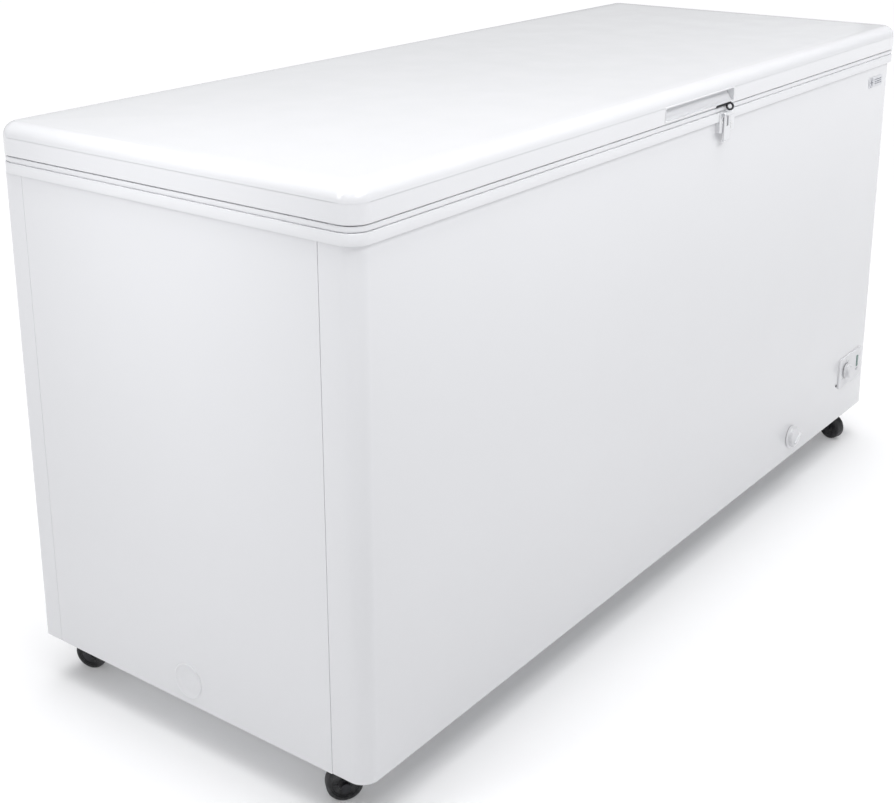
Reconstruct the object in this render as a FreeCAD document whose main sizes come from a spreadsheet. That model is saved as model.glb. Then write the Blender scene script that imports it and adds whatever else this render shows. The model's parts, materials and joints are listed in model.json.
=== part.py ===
import FreeCAD, Part

import math
import os
import re

import Sketcher
from FreeCAD import Placement, Rotation, Vector

# Chest freezer, in millimetres. X runs along the front, -Y is the front, +Z is up.
# The origin is on the floor under the middle of the closed freezer.

doc = FreeCAD.newDocument("ChestFreezer")

SIZES = {
    # cabinet shell, foam and liner
    "cab_len": 1614, "cab_dep": 624, "skirt_z": 70, "cab_top": 780, "skin": 1.0,
    "front_rad": 25, "rear_rad": 6, "front_wrap": 56, "rear_wrap": 36, "seam": 0.6,
    "wall": 60, "floor_z": 85, "liner_z": 146, "step_x": 519, "step_z": 400,
    "bay_x": 569, "bay_top": 340,
    # breaker frame round the mouth
    "trim_over": 6, "trim_rad": 28, "band_z": 795, "groove_z": 796.2, "ledge_z": 797,
    "rim_z": 803, "rim_wide": 10, "mouth_in": 64, "lip_z": 768,
    # lid
    "lid_z": 804.3, "lid_top": 850, "lid_edge": 20, "flange_z": 804.8, "flange_thick": 1.2,
    "dam_in": 75, "dam_z": 785, "seal_in": 10, "seal_wide": 16, "seal_z": 797.3,
    # handle scoop in the lid's front skirt
    "grip_len": 225, "grip_low": 806.5, "grip_high": 830.5, "grip_deep": 24, "grip_wall": 2.5,
    # hinges
    "hinge_x": 500, "pin_y": 325.3, "pin_z": 797, "pin_rad": 3.5, "pin_bore": 3.56, "knuckle": 6.5,
    # hasp and staple
    "hasp_x": 88, "hasp_y": -323.4, "hasp_z": 791.5, "hasp_pin": 1.5, "hasp_bore": 1.56,
    "staple_x": 84,
    # control panel, drain, ports and badge
    "panel_x": 714.5, "panel_z": 168.5, "panel_len": 108, "panel_high": 63, "panel_thick": 3,
    "dial_x": 691, "dial_z": 170, "dial_rad": 15, "lamp_x": 749,
    "drain_x": 444, "drain_z": 112.5, "drain_y": -215, "tube_rad": 10,
    "port_y": 5, "port_z": 106, "port_rad": 26, "badge_x": 730, "badge_z": 750,
    # casters and rails
    "caster_x": 742, "caster_y": 252, "wheel_rad": 25, "wheel_wide": 20, "trail": 26,
    "axle_rad": 4, "axle_bore": 4.06, "king_rad": 5, "king_bore": 5.06, "rail_wide": 76,
    # basket
    "basket_x": 633, "basket_len": 200, "basket_dep": 488, "basket_z": 570, "basket_top": 780,
    "basket_wall": 2,
    # machine bay
    "comp_x": 690, "comp_y": 150, "comp_rad": 68, "comp_z": 98,
}

sheet = doc.addObject("Spreadsheet::Sheet", "Sizes")
for row, (alias, number) in enumerate(SIZES.items(), start=1):
    sheet.set(f"A{row}", alias)
    sheet.set(f"B{row}", str(number))
    sheet.setAlias(f"B{row}", alias)
doc.recompute()

NODES = []


def linked(formula):
    """The formula with each size name pointing at the sheet."""
    return re.sub(r"[a-z_]+", lambda word: "Sizes." + word[0] if word[0] in SIZES else word[0], str(formula))


def worth(formula):
    """What a formula of sizes comes to, in millimetres."""
    return float(sheet.evalExpression(str(formula)))


def bind(thing, **formulas):
    for name, formula in formulas.items():
        thing.setExpression(name, linked(formula))


def place(thing, x=0, y=0, z=0, turn=None):
    """Puts an object's own origin at three formulas, turned by a rotation."""
    if turn is not None:
        thing.Placement = Placement(Vector(), turn)
    for letter, formula in (("x", x), ("y", y), ("z", z)):
        thing.setExpression(f"Placement.Base.{letter}", linked(formula))
    return thing


def node(thing, label):
    """Names a finished sub-part. The label is also its file's name."""
    thing.Label = label
    NODES.append(thing)
    return thing


# Part primitives and booleans

ALONG = {"x": Rotation(Vector(0, 1, 0), 90), "y": Rotation(Vector(1, 0, 0), -90), "z": Rotation()}


def box(x, y, z):
    """A block between two x, two y and two z formulas."""
    made = doc.addObject("Part::Box", "block")
    for side, letter, (low, high) in (("Length", "x", x), ("Width", "y", y), ("Height", "z", z)):
        made.setExpression(side, linked(f"({high}) - ({low})"))
        made.setExpression(f"Placement.Base.{letter}", linked(low))
    return made


def rod(radius, length, x, y, z, axis="z"):
    """A cylinder that starts at x, y, z and runs along an axis."""
    made = doc.addObject("Part::Cylinder", "rod")
    bind(made, Radius=radius, Height=length)
    return place(made, x, y, z, ALONG[axis])


def cone(radius, tip_radius, length, x, y, z, axis="z"):
    made = doc.addObject("Part::Cone", "cone")
    bind(made, Radius1=radius, Radius2=tip_radius, Height=length)
    return place(made, x, y, z, ALONG[axis])


def fused(*things):
    made = doc.addObject("Part::MultiFuse", "fused")
    made.Shapes = list(things)
    made.Refine = True
    return made


def cut(base, *tools):
    made = doc.addObject("Part::Cut", "cut")
    made.Base = base
    made.Tool = tools[0] if len(tools) == 1 else fused(*tools)
    return made


def grouped(*things):
    made = doc.addObject("Part::Compound", "group")
    made.Links = list(things)
    return made


# PartDesign bodies

def body(name):
    return doc.addObject("PartDesign::Body", name)


def pin_point(drawn, geometry, end, x, y):
    """Holds one end of a line in a sketch at two formulas."""
    for kind, axis, formula in (("DistanceX", -2, x), ("DistanceY", -1, y)):
        amount = worth(formula)
        if abs(amount) < 1e-6:
            drawn.addConstraint(Sketcher.Constraint("PointOnObject", geometry, end, axis))
            continue
        made = drawn.addConstraint(Sketcher.Constraint(kind, -1, 1, geometry, end, amount))
        drawn.setExpression(f"Constraints[{made}]", linked(formula))


def outline(*points):
    """A loop of straight lines through points given as formulas."""
    def draw(drawn):
        flat = [Vector(worth(x), worth(y)) for x, y in points]
        lines = [drawn.addGeometry(Part.LineSegment(a, b)) for a, b in zip(flat, flat[1:] + flat[:1])]
        for line, follower in zip(lines, lines[1:] + lines[:1]):
            drawn.addConstraint(Sketcher.Constraint("Coincident", line, 2, follower, 1))
        for line, (x, y) in zip(lines, points):
            pin_point(drawn, line, 1, x, y)
    return draw


def circle(x, y, radius):
    def draw(drawn):
        ring = Part.Circle(Vector(worth(x), worth(y)), Vector(0, 0, 1), worth(radius))
        made = drawn.addGeometry(ring)
        pin_point(drawn, made, 3, x, y)
        held = drawn.addConstraint(Sketcher.Constraint("Radius", made, worth(radius)))
        drawn.setExpression(f"Constraints[{held}]", linked(radius))
    return draw


def rectangle(x, y):
    """A loop between two x and two y formulas."""
    return outline((x[0], y[0]), (x[1], y[0]), (x[1], y[1]), (x[0], y[1]))


def rounded(x, y, radius):
    """A rectangle with a quarter arc at each corner."""
    def draw(drawn):
        (left, right), (low, high) = x, y
        sides = [
            ((f"({left}) + ({radius})", low), (f"({right}) - ({radius})", low)),
            ((right, f"({low}) + ({radius})"), (right, f"({high}) - ({radius})")),
            ((f"({right}) - ({radius})", high), (f"({left}) + ({radius})", high)),
            ((left, f"({high}) - ({radius})"), (left, f"({low}) + ({radius})")),
        ]
        centres = [(right, low, -1, 1), (right, high, -1, -1), (left, high, 1, -1), (left, low, 1, 1)]
        lines = []
        for ends in sides:
            a, b = (Vector(worth(u), worth(v)) for u, v in ends)
            lines.append(drawn.addGeometry(Part.LineSegment(a, b)))
            pin_point(drawn, lines[-1], 1, *ends[0])
            pin_point(drawn, lines[-1], 2, *ends[1])
        for index, (u, v, step_u, step_v) in enumerate(centres):
            reach = worth(radius)
            middle = Vector(worth(u) + step_u * reach, worth(v) + step_v * reach)
            start = math.radians(-90 + 90 * index)
            ring = Part.ArcOfCircle(Part.Circle(middle, Vector(0, 0, 1), reach), start, start + math.pi / 2)
            made = drawn.addGeometry(ring)
            drawn.addConstraint(Sketcher.Constraint("Coincident", lines[index], 2, made, 1))
            drawn.addConstraint(Sketcher.Constraint("Coincident", lines[(index + 1) % 4], 1, made, 2))
            held = drawn.addConstraint(Sketcher.Constraint("Radius", made, reach))
            drawn.setExpression(f"Constraints[{held}]", linked(radius))
    return draw


FACING = {"XY_Plane": 1, "XZ_Plane": -1, "YZ_Plane": 1}


def sketch(made, plane, level, loops):
    """A sketch parallel to one of the body's own planes, at a level on the world's axis."""
    drawn = made.newObject("Sketcher::SketchObject", "sketch")
    origin = next(feature for feature in made.Origin.OriginFeatures if feature.Role == plane)
    drawn.AttachmentSupport = [(origin, "")]
    drawn.MapMode = "FlatFace"
    drawn.setExpression("AttachmentOffset.Base.z", linked(f"{FACING[plane]} * ({level})"))
    for loop in loops:
        loop(drawn)
    return drawn


def pad(made, plane, low, high, *loops):
    """Material between two levels of the axis that the plane faces."""
    start = low if FACING[plane] > 0 else high
    drawn = sketch(made, plane, start, loops)
    feature = made.newObject("PartDesign::Pad", "pad")
    feature.Profile = drawn
    bind(feature, Length=f"({high}) - ({low})")
    doc.recompute()
    return feature


def pocket(made, plane, low, high, *loops):
    """Takes material away between two levels, and makes sure that it went."""
    before = made.Shape.Volume
    start = high if FACING[plane] > 0 else low
    drawn = sketch(made, plane, start, loops)
    feature = made.newObject("PartDesign::Pocket", "pocket")
    feature.Profile = drawn
    bind(feature, Length=f"({high}) - ({low})")
    doc.recompute()
    if made.Shape.Volume > before - 0.01:
        raise RuntimeError(f"a pocket of {made.Name} cut nothing")
    return feature


def turned(made, *points):
    """A solid of revolution about the body's own Z, from radius and height pairs."""
    drawn = sketch(made, "XZ_Plane", 0, [outline(*points)])
    feature = made.newObject("PartDesign::Revolution", "turned")
    feature.Profile = drawn
    feature.ReferenceAxis = (drawn, ["V_Axis"])
    feature.Angle = 360
    doc.recompute()
    return feature


def rounding(made, radius, wanted, kind="PartDesign::Fillet"):
    """Rounds or bevels the edges of the body's tip that the test picks out."""
    tip = made.Tip
    names = [f"Edge{i}" for i, edge in enumerate(tip.Shape.Edges, start=1) if wanted(edge)]
    if not names:
        raise RuntimeError(f"no edge of {made.Name} to round")
    feature = made.newObject(kind, "rounding")
    feature.Base = (tip, names)
    bind(feature, **{"Radius" if kind.endswith("Fillet") else "Size": radius})
    doc.recompute()
    return feature


def repeated(made, original, kind, **settings):
    """A polar or linear pattern of one feature, which becomes the body's tip."""
    feature = made.newObject(f"PartDesign::{kind}", "pattern")
    feature.Originals = [original]
    for name, setting in settings.items():
        setattr(feature, name, setting)
    made.Tip = feature
    doc.recompute()
    return feature


def upright(edge, y):
    """True for a vertical edge at a given y."""
    if len(edge.Vertexes) != 2:
        return False
    ends = edge.Vertexes[0].Point, edge.Vertexes[1].Point
    return abs(ends[0].x - ends[1].x) + abs(ends[0].y - y) + abs(ends[1].y - y) < 0.05


def at_height(edge, z):
    """True for an edge that lies wholly at one height."""
    bounds = edge.BoundBox
    return abs(bounds.ZMin - z) < 0.01 and abs(bounds.ZMax - z) < 0.01


def tube(label, points, radius, bend):
    """A bent tube: straight runs between the points, joined by tangent arcs."""
    points = [Vector(*(worth(value) for value in point)) for point in points]
    edges, start = [], points[0]
    for corner, after in zip(points[1:-1], points[2:]):
        inward, outward = (start - corner).normalize(), (after - corner).normalize()
        half = inward.getAngle(outward) / 2
        reach = bend / math.tan(half)
        first, last = corner + inward * reach, corner + outward * reach
        middle = (inward + outward).normalize() * (bend / math.sin(half) - bend)
        edges.append(Part.LineSegment(start, first).toShape())
        edges.append(Part.Arc(first, corner + middle, last).toShape())
        start = last
    edges.append(Part.LineSegment(start, points[-1]).toShape())
    path = Part.Wire(edges)
    ring = Part.Circle(points[0], points[1] - points[0], radius)
    shape = path.makePipeShell([Part.Wire(ring.toShape())], True, True)
    expected = math.pi * radius ** 2 * path.Length
    if abs(shape.Volume / expected - 1) > 0.01:
        raise RuntimeError(f"{label} has the wrong volume")
    made = doc.addObject("Part::Feature", label)
    made.Shape = shape
    return made


HALF_LEN, HALF_DEP = "cab_len / 2", "cab_dep / 2"
FULL_X = (f"-{HALF_LEN}", HALF_LEN)
FULL_Y = (f"-{HALF_DEP}", HALF_DEP)


def inset(amount):
    """The cabinet's plan taken in by an amount: two x and two y formulas."""
    return ((f"-{HALF_LEN} + ({amount})", f"{HALF_LEN} - ({amount})"),
            (f"-{HALF_DEP} + ({amount})", f"{HALF_DEP} - ({amount})"))


def drain_run(label, radius, past):
    """The drain's route, from the tank's floor down and out through the front."""
    return tube(label, [("drain_x", "drain_y", f"liner_z + {past}"), ("drain_x", "drain_y", "drain_z"),
                        ("drain_x", f"-{HALF_DEP} - 2 - {past}", "drain_z")], worth(radius), 14)


# Cabinet shell

def make_wrap_panel(label, front):
    """The front or back sheet, which is bent round two corners onto the sides."""
    made = body(label)
    radius = "front_rad" if front else "rear_rad"
    reach = "front_wrap" if front else "rear_wrap"
    if front:
        outer = (f"-{HALF_DEP}", f"-{HALF_DEP} + {reach}")
        inner = (f"-{HALF_DEP} + skin", f"-{HALF_DEP} + {reach} + 2 * {radius}")
    else:
        outer = (f"{HALF_DEP} - {reach}", HALF_DEP)
        inner = (f"{HALF_DEP} - {reach} - 2 * {radius}", f"{HALF_DEP} - skin")
    face_y = worth(outer[0] if front else outer[1])
    pad(made, "XY_Plane", "skirt_z", "cab_top", rectangle(FULL_X, outer))
    rounding(made, radius, lambda edge: upright(edge, face_y))
    pocket(made, "XY_Plane", "skirt_z", "cab_top", rounded(inset("skin")[0], inner, f"{radius} - skin"))
    return made


def make_front_panel():
    made = make_wrap_panel("FrontPanel", True)
    front = (f"-{HALF_DEP}", f"-{HALF_DEP} + skin")
    pocket(made, "XZ_Plane", *front,
           rectangle(("dial_x - 22", "lamp_x + 8"), ("panel_z - 22", "panel_z + 22")))
    pocket(made, "XZ_Plane", *front, circle("drain_x", "drain_z", "tube_rad + 0.2"))
    node(made, "front_panel")


def make_back_panel():
    made = make_wrap_panel("BackPanel", False)
    rear = (f"{HALF_DEP} - skin", HALF_DEP)
    pocket(made, "XZ_Plane", *rear, rectangle(("bay_x + 30", f"{HALF_LEN} - 30"), (110, 300)))
    node(made, "back_panel")


def make_side_panel(label, side):
    """A flat side sheet between the two wrapped edges, with a seam at each."""
    made = body(label)
    faces = sorted((f"{side} * {HALF_LEN}", f"{side} * ({HALF_LEN} - skin)"), key=worth)
    depth = (f"-{HALF_DEP} + front_wrap + seam", f"{HALF_DEP} - rear_wrap - seam")
    pad(made, "YZ_Plane", *faces, rectangle(depth, ("skirt_z", "cab_top")))
    if side < 0:
        pocket(made, "YZ_Plane", *faces, circle("port_y", "port_z", "port_rad - 7"))
    else:
        slot = pocket(made, "YZ_Plane", *faces, rounded((20, 190), (130, 138), 3.9))
        repeated(made, slot, "LinearPattern", Direction=(slot.Profile[0], ["V_Axis"]),
                 Length=150, Occurrences=11)
    node(made, f"{label}_side_panel")


def make_foam():
    """Foam fills the walls. It is open at the mouth and over the machine bay."""
    made = body("Foam")
    plan = inset("skin")
    pad(made, "XY_Plane", "floor_z", "cab_top - 2", rectangle(*plan))
    for radius, face in (("front_rad - skin", plan[1][0]), ("rear_rad - skin", plan[1][1])):
        rounding(made, radius, lambda edge: upright(edge, worth(face)))
    cavity_x, cavity_y = inset("skin + wall")
    pocket(made, "XY_Plane", "step_z", "cab_top - 2", rectangle(cavity_x, cavity_y))
    pocket(made, "XY_Plane", "liner_z", "step_z", rectangle((cavity_x[0], "step_x"), cavity_y))
    pocket(made, "XY_Plane", "floor_z", "bay_top", rectangle(("bay_x", plan[0][1]), plan[1]))
    node(cut(made, drain_run("DrainPath", "tube_rad", 0)), "foam_insulation")


def make_liner():
    """The inner tank, folded from sheet, with a step over the machine bay."""
    made = body("Liner")
    (left, right), depth = inset("skin + wall")

    def section(gap, top):
        return outline((f"{left} + {gap}", f"liner_z + {gap}"), (f"step_x - {gap}", f"liner_z + {gap}"),
                       (f"step_x - {gap}", f"step_z + {gap}"), (f"{right} - {gap}", f"step_z + {gap}"),
                       (f"{right} - {gap}", top), (f"{left} + {gap}", top))

    pad(made, "XZ_Plane", *depth, section(0, "cab_top - 2"))
    pocket(made, "XZ_Plane", f"{depth[0]} + skin", f"{depth[1]} - skin", section("skin", "cab_top - 1"))
    pocket(made, "XY_Plane", "liner_z", "liner_z + skin", circle("drain_x", "drain_y", "tube_rad + 0.2"))
    node(made, "inner_liner")


def make_floor_sheets():
    plan_x, plan_y = inset("skin + 1")
    floor = box((plan_x[0], "bay_x - 1"), plan_y, ("floor_z - skin", "floor_z"))
    node(cut(floor, rod("front_rad", 4, plan_x[0], plan_y[0], "floor_z - 2")), "bottom_panel")

    made = body("Tray")
    pad(made, "XY_Plane", "floor_z - 1.5", "floor_z",
        rectangle(("bay_x + 1", f"{plan_x[1]} - front_rad / 2"), (f"{plan_y[0]} + front_rad / 2", plan_y[1])))
    vent = pocket(made, "XY_Plane", "floor_z - 1.5", "floor_z", rounded((600, 680), (-180, -172), 3.9))
    repeated(made, vent, "LinearPattern", Direction=(vent.Profile[0], ["V_Axis"]), Length=120, Occurrences=7)
    node(made, "compressor_tray")


def make_rails():
    """Two channels under the ends, which carry the casters."""
    def rail(side):
        middle = f"{side} * caster_x"
        x = (f"{middle} - rail_wide / 2", f"{middle} + rail_wide / 2")
        y = inset("skin + 6")[1]
        hollow = box((f"{x[0]} + 2", f"{x[1]} - 2"), (f"{y[0]} - 1", f"{y[1]} + 1"), ("skirt_z + 2", "floor_z"))
        return cut(box(x, y, ("skirt_z", "floor_z - 1.5")), hollow)
    node(grouped(rail(-1), rail(1)), "base_rails")


def make_trim():
    """The breaker frame: a lower band, a shadow groove, an upper band and the seal's ledge."""
    made = body("Trim")

    def ring(over):
        return rounded(*inset(f"-({over})"), f"trim_rad - trim_over + {over}")

    pad(made, "XY_Plane", "cab_top", "band_z", ring("trim_over"))
    pad(made, "XY_Plane", "band_z", "groove_z", ring("trim_over - 3"))
    pad(made, "XY_Plane", "groove_z", "rim_z", ring("trim_over - 1"))
    mouth_x, mouth_y = inset("mouth_in")
    pad(made, "XY_Plane", "lip_z", "cab_top", rectangle(*inset("mouth_in - 1.8")))
    pocket(made, "XY_Plane", "ledge_z", "rim_z", rectangle(*inset("rim_wide - trim_over + 1")))
    pocket(made, "XY_Plane", "lip_z", "ledge_z", rectangle(mouth_x, mouth_y))
    pocket(made, "XY_Plane", "cab_top", "band_z - 1", rectangle(*inset("4")), rectangle(*inset("mouth_in - 4")))
    node(made, "top_trim")


# Lid

LID = inset("-trim_over")


def lid_block(name, gap, low):
    """The lid's outer form taken in by a gap, with its soft top edge."""
    made = body(name)
    top = worth(f"lid_top - {gap}")
    pad(made, "XY_Plane", low, f"lid_top - {gap}",
        rounded(*inset(f"{gap} - trim_over"), f"trim_rad - {gap}"))
    rounding(made, f"lid_edge - {gap}", lambda edge: at_height(edge, top))
    return made


def grip_window(grow):
    """The handle's place in the skirt, a little larger by some formula."""
    across = (f"-grip_len / 2 - ({grow})", f"grip_len / 2 + ({grow})")
    upright_span = (f"grip_low - ({grow})", f"grip_high + ({grow})")
    return rectangle(across, upright_span)


LID_FRONT = f"-{HALF_DEP} - trim_over"


def make_lid_skin():
    outer = lid_block("LidOuter", "0", "lid_z")
    pocket(outer, "XZ_Plane", LID_FRONT, f"{LID_FRONT} + 30", grip_window("0"))
    node(cut(outer, lid_block("LidHollow", "skin", "lid_z - 1")), "lid_skin")


def make_lid_foam():
    made = lid_block("LidFoam", "skin", "flange_z + flange_thick")
    pocket(made, "XZ_Plane", f"{LID_FRONT} + skin", f"{LID_FRONT} + grip_deep", grip_window("0"))
    pad(made, "XY_Plane", "dam_z + flange_thick", "flange_z + flange_thick",
        rectangle(*inset("dam_in + flange_thick")))
    node(made, "lid_foam")


def make_lid_liner():
    """The lid's inner sheet: a flange and a shallow tub that sits in the mouth."""
    made = body("LidLiner")
    pad(made, "XY_Plane", "flange_z", "flange_z + flange_thick",
        rounded(*inset("skin - trim_over"), "trim_rad - skin"))
    pad(made, "XY_Plane", "dam_z", "flange_z", rounded(*inset("dam_in"), 8))
    pocket(made, "XY_Plane", "dam_z + flange_thick", "flange_z + flange_thick",
           rectangle(*inset("dam_in + flange_thick")))
    node(made, "lid_liner")


def make_gasket():
    """A soft ring with a wide foot, a narrow bellows and a magnet pocket."""
    made = body("Gasket")
    inner = "seal_in + seal_wide"
    for low, high, thinner in (("seal_z", "seal_z + 3.4", "0"), ("seal_z + 3.4", "seal_z + 5", "3"),
                               ("seal_z + 5", "flange_z", "0.5")):
        pad(made, "XY_Plane", low, high, rounded(*inset(f"seal_in + {thinner}"), 12))
    for low, high, thinner in (("seal_z", "seal_z + 3.4", "0"), ("seal_z + 3.4", "seal_z + 5", "3"),
                               ("seal_z + 5", "flange_z", "0.5")):
        pocket(made, "XY_Plane", low, high, rounded(*inset(f"{inner} - {thinner}"), 6))
    node(made, "lid_gasket")


def make_handle():
    """A finger scoop with a flat ceiling, a raised front lip and a back that slopes inwards going up."""
    made = body("Handle")
    half = "grip_len / 2"
    pad(made, "XZ_Plane", LID_FRONT, f"{LID_FRONT} + grip_deep", grip_window("0"))
    deepest = f"{LID_FRONT} + grip_deep - grip_wall"
    pocket(made, "YZ_Plane", f"-{half} + grip_wall + 3", f"{half} - grip_wall",
           outline((f"{LID_FRONT} - 1", "grip_low + 3"), (f"{LID_FRONT} + 4", "grip_low + 3"),
                   (deepest, "grip_high - grip_wall - 5"), (deepest, "grip_high - grip_wall"),
                   (f"{LID_FRONT} - 1", "grip_high - grip_wall")))
    node(made, "handle_scoop")


def make_staple():
    """A dark strap along the lid's lower edge, with an eye for a padlock."""
    strap = box(("staple_x - 33", "staple_x + 15"), (f"{LID_FRONT} - 2", LID_FRONT),
                ("lid_z + 0.4", "lid_z + 3.8"))
    eye = body("StapleEye")
    pad(eye, "YZ_Plane", "staple_x - 1.5", "staple_x + 1.5",
        circle(f"{LID_FRONT} - 7.2", "lid_z - 0.9", 6.6))
    pocket(eye, "YZ_Plane", "staple_x - 1.5", "staple_x + 1.5",
           circle(f"{LID_FRONT} - 7.2", "lid_z - 0.9", 4.1))
    node(fused(strap, eye), "lid_staple")


# Hinges

def screw(radius, x, y, z, axis, sign, shank=7):
    """A raised-head screw. Its head stands on the surface at the point given, and faces the sign."""
    start = {"x": x, "y": y, "z": z}
    head = dict(start)
    head[axis] = start[axis] if sign > 0 else f"({start[axis]}) - {radius} * 0.5"
    stem = dict(start)
    stem[axis] = f"({start[axis]}) - {shank}" if sign > 0 else start[axis]
    return fused(rod(radius, f"{radius} * 0.5", head["x"], head["y"], head["z"], axis),
                 rod(f"{radius} * 0.45", shank, stem["x"], stem["y"], stem["z"], axis))


def make_hinge(label, side):
    """A pressed base on the back sheet, and a leaf on the lid's rear skirt."""
    middle = f"{side} * hinge_x"
    base = body(f"HingeBase{label}")
    pad(base, "XZ_Plane", HALF_DEP, f"{HALF_DEP} + 2",
        rounded((f"{middle} - 30", f"{middle} + 30"), ("cab_top - 120", "cab_top - 2"), 6))
    cheek = outline((f"{HALF_DEP} + 1", "cab_top - 112"), (f"{HALF_DEP} + 1", "cab_top - 3"),
                    (f"{HALF_DEP} + 7.6", "cab_top - 3"), ("pin_y - 6", "pin_z - 2"), ("pin_y", "pin_z"),
                    ("pin_y + 6", "pin_z - 2"), ("pin_y + 5", "pin_z - 40"), (f"{HALF_DEP} + 6", "cab_top - 112"))
    for low, high in ((-30, -28), (28, 30)):
        pad(base, "YZ_Plane", f"{middle} + {low}", f"{middle} + {high}", cheek)
        pad(base, "YZ_Plane", f"{middle} + {low}", f"{middle} + {high}", circle("pin_y", "pin_z", "knuckle"))
    pocket(base, "YZ_Plane", f"{middle} - 30", f"{middle} + 30", circle("pin_y", "pin_z", "pin_rad"))
    node(base, f"hinge_base_{label}")

    leaf = body(f"HingeLeaf{label}")
    rear = f"{HALF_DEP} + trim_over"
    pad(leaf, "XZ_Plane", rear, f"{rear} + 2",
        rectangle((f"{middle} - 27", f"{middle} + 27"), ("lid_z + 3.5", "lid_top - 22")))
    ear = outline((f"{rear} + 1", "lid_z + 4"), (f"{rear} + 1", "lid_top - 22"), (f"{rear} + 4", "lid_top - 22"),
                  ("pin_y + 5", "pin_z + 4"), ("pin_y", "pin_z - 1"), ("pin_y - 5", "pin_z + 4"))
    for low, high in ((-27, -25), (25, 27)):
        pad(leaf, "YZ_Plane", f"{middle} + {low}", f"{middle} + {high}", ear)
        pad(leaf, "YZ_Plane", f"{middle} + {low}", f"{middle} + {high}", circle("pin_y", "pin_z", "knuckle"))
    pocket(leaf, "YZ_Plane", f"{middle} - 27", f"{middle} + 27", circle("pin_y", "pin_z", "pin_bore"))
    node(leaf, f"hinge_leaf_{label}")


def make_hinge_hardware():
    pins, springs, base_screws, leaf_screws = [], [], [], []
    for side in (-1, 1):
        middle = f"{side} * hinge_x"
        pins.append(fused(rod("pin_rad", 64, f"{middle} - 32", "pin_y", "pin_z", "x"),
                          rod("pin_rad + 2", 2, f"{middle} - 32", "pin_y", "pin_z", "x"),
                          rod("pin_rad + 2", 2, f"{middle} + 30", "pin_y", "pin_z", "x")))
        coil = doc.addObject("Part::Helix", "coil")
        coil.Pitch, coil.Height = 3.8, 38
        bind(coil, Radius="pin_rad + 1.6")
        place(coil, f"{middle} - 19", "pin_y", "pin_z", ALONG["x"])
        wire = doc.addObject("Part::Circle", "wire")
        wire.Radius = 1.2
        place(wire, f"{middle} - 19", "pin_y", "pin_z - pin_rad - 1.6", Rotation(Vector(1, 0, 0), 90))
        sweep = doc.addObject("Part::Sweep", "spring")
        sweep.Sections, sweep.Spine = [wire], (coil, [])
        sweep.Solid, sweep.Frenet = True, True
        springs.append(sweep)
        for across in (-18, 18):
            for down in (-100, -60, -25):
                base_screws.append(screw(4, f"{middle} + {across}", f"{HALF_DEP} + 2",
                                         f"cab_top + {down}", "y", 1))
            leaf_screws.append(screw(3.5, f"{middle} + {across}", f"{HALF_DEP} + trim_over + 2",
                                     "lid_z + 14", "y", 1))
    node(grouped(*pins), "hinge_pins")
    node(grouped(*springs), "hinge_springs")
    node(grouped(*base_screws), "hinge_base_screws")
    node(grouped(*leaf_screws), "hinge_leaf_screws")


# Hasp

def make_hasp():
    """A stepped base on the front, and a slotted arm that swings up over the lid's eye."""
    band_y = f"-{HALF_DEP} - trim_over"
    base = body("HaspBase")
    across = ("hasp_x - 25", "hasp_x + 25")
    pad(base, "XZ_Plane", f"{band_y} - 1.8", band_y, rounded(across, ("cab_top - 18", "cab_top + 15"), 4))
    pad(base, "XZ_Plane", band_y, f"-{HALF_DEP}", rectangle(("hasp_x - 24", "hasp_x + 24"),
                                                           ("cab_top - 17", "cab_top - 0.3")))
    lug = outline(("hasp_y - 2.7", "hasp_z"), ("hasp_y - 1.4", "hasp_z + 2.5"), ("hasp_y + 1.4", "hasp_z + 2.5"),
                  (f"{band_y} - 1", "hasp_z + 1"), (f"{band_y} - 1", "hasp_z - 6"), ("hasp_y - 1.4", "hasp_z - 2.5"))
    for low, high in ((-17, -11.4), (9.4, 15)):
        pad(base, "YZ_Plane", f"staple_x + {low}", f"staple_x + {high}", lug)
    pocket(base, "YZ_Plane", "staple_x - 17", "staple_x + 15", circle("hasp_y", "hasp_z", "hasp_pin"))
    node(base, "hasp_base")

    arm = body("HaspArm")
    pad(arm, "YZ_Plane", "staple_x - 11", "staple_x + 9",
        outline(("hasp_y - 2.6", "hasp_z + 0.9"), ("hasp_y - 1.3", "hasp_z + 2.5"), ("hasp_y + 1.3", "hasp_z + 2.5"),
                ("hasp_y + 2.6", "hasp_z + 1"), ("hasp_y + 2.6", "hasp_z - 1.6"), ("hasp_y + 2.1", "hasp_z - 3.2"),
                ("hasp_y + 2.1", "hasp_z - 41"), ("hasp_y + 5.2", "hasp_z - 44"), ("hasp_y + 4.2", "hasp_z - 45.6"),
                ("hasp_y + 0.4", "hasp_z - 42"), ("hasp_y + 0.4", "hasp_z - 2.9"), ("hasp_y - 1.3", "hasp_z - 2.5"),
                ("hasp_y - 2.6", "hasp_z - 1.2")))
    pocket(arm, "YZ_Plane", "staple_x - 11", "staple_x + 9", circle("hasp_y", "hasp_z", "hasp_bore"))
    pocket(arm, "XZ_Plane", "hasp_y - 4", "hasp_y + 4",
           rectangle(("staple_x - 3.5", "staple_x + 3.5"), ("hasp_z - 20", "hasp_z - 3.8")))
    node(arm, "hasp_arm")

    pin = rod("hasp_pin", 33, "staple_x - 17.5", "hasp_y", "hasp_z", "x")
    node(fused(pin, rod("hasp_pin + 1.1", 1, "staple_x - 18", "hasp_y", "hasp_z", "x")), "hasp_pin")
    heads = [screw(2.3, f"hasp_x + {across}", f"{band_y} - 1.8", f"cab_top + {up}", "y", -1, 5.6)
             for across, up in ((-18, -0.8), (14.4, -6.5), (12.7, -13))]
    node(grouped(*heads), "hasp_screws")


# Controls

PANEL_FRONT = f"-{HALF_DEP} - panel_thick"


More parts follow.
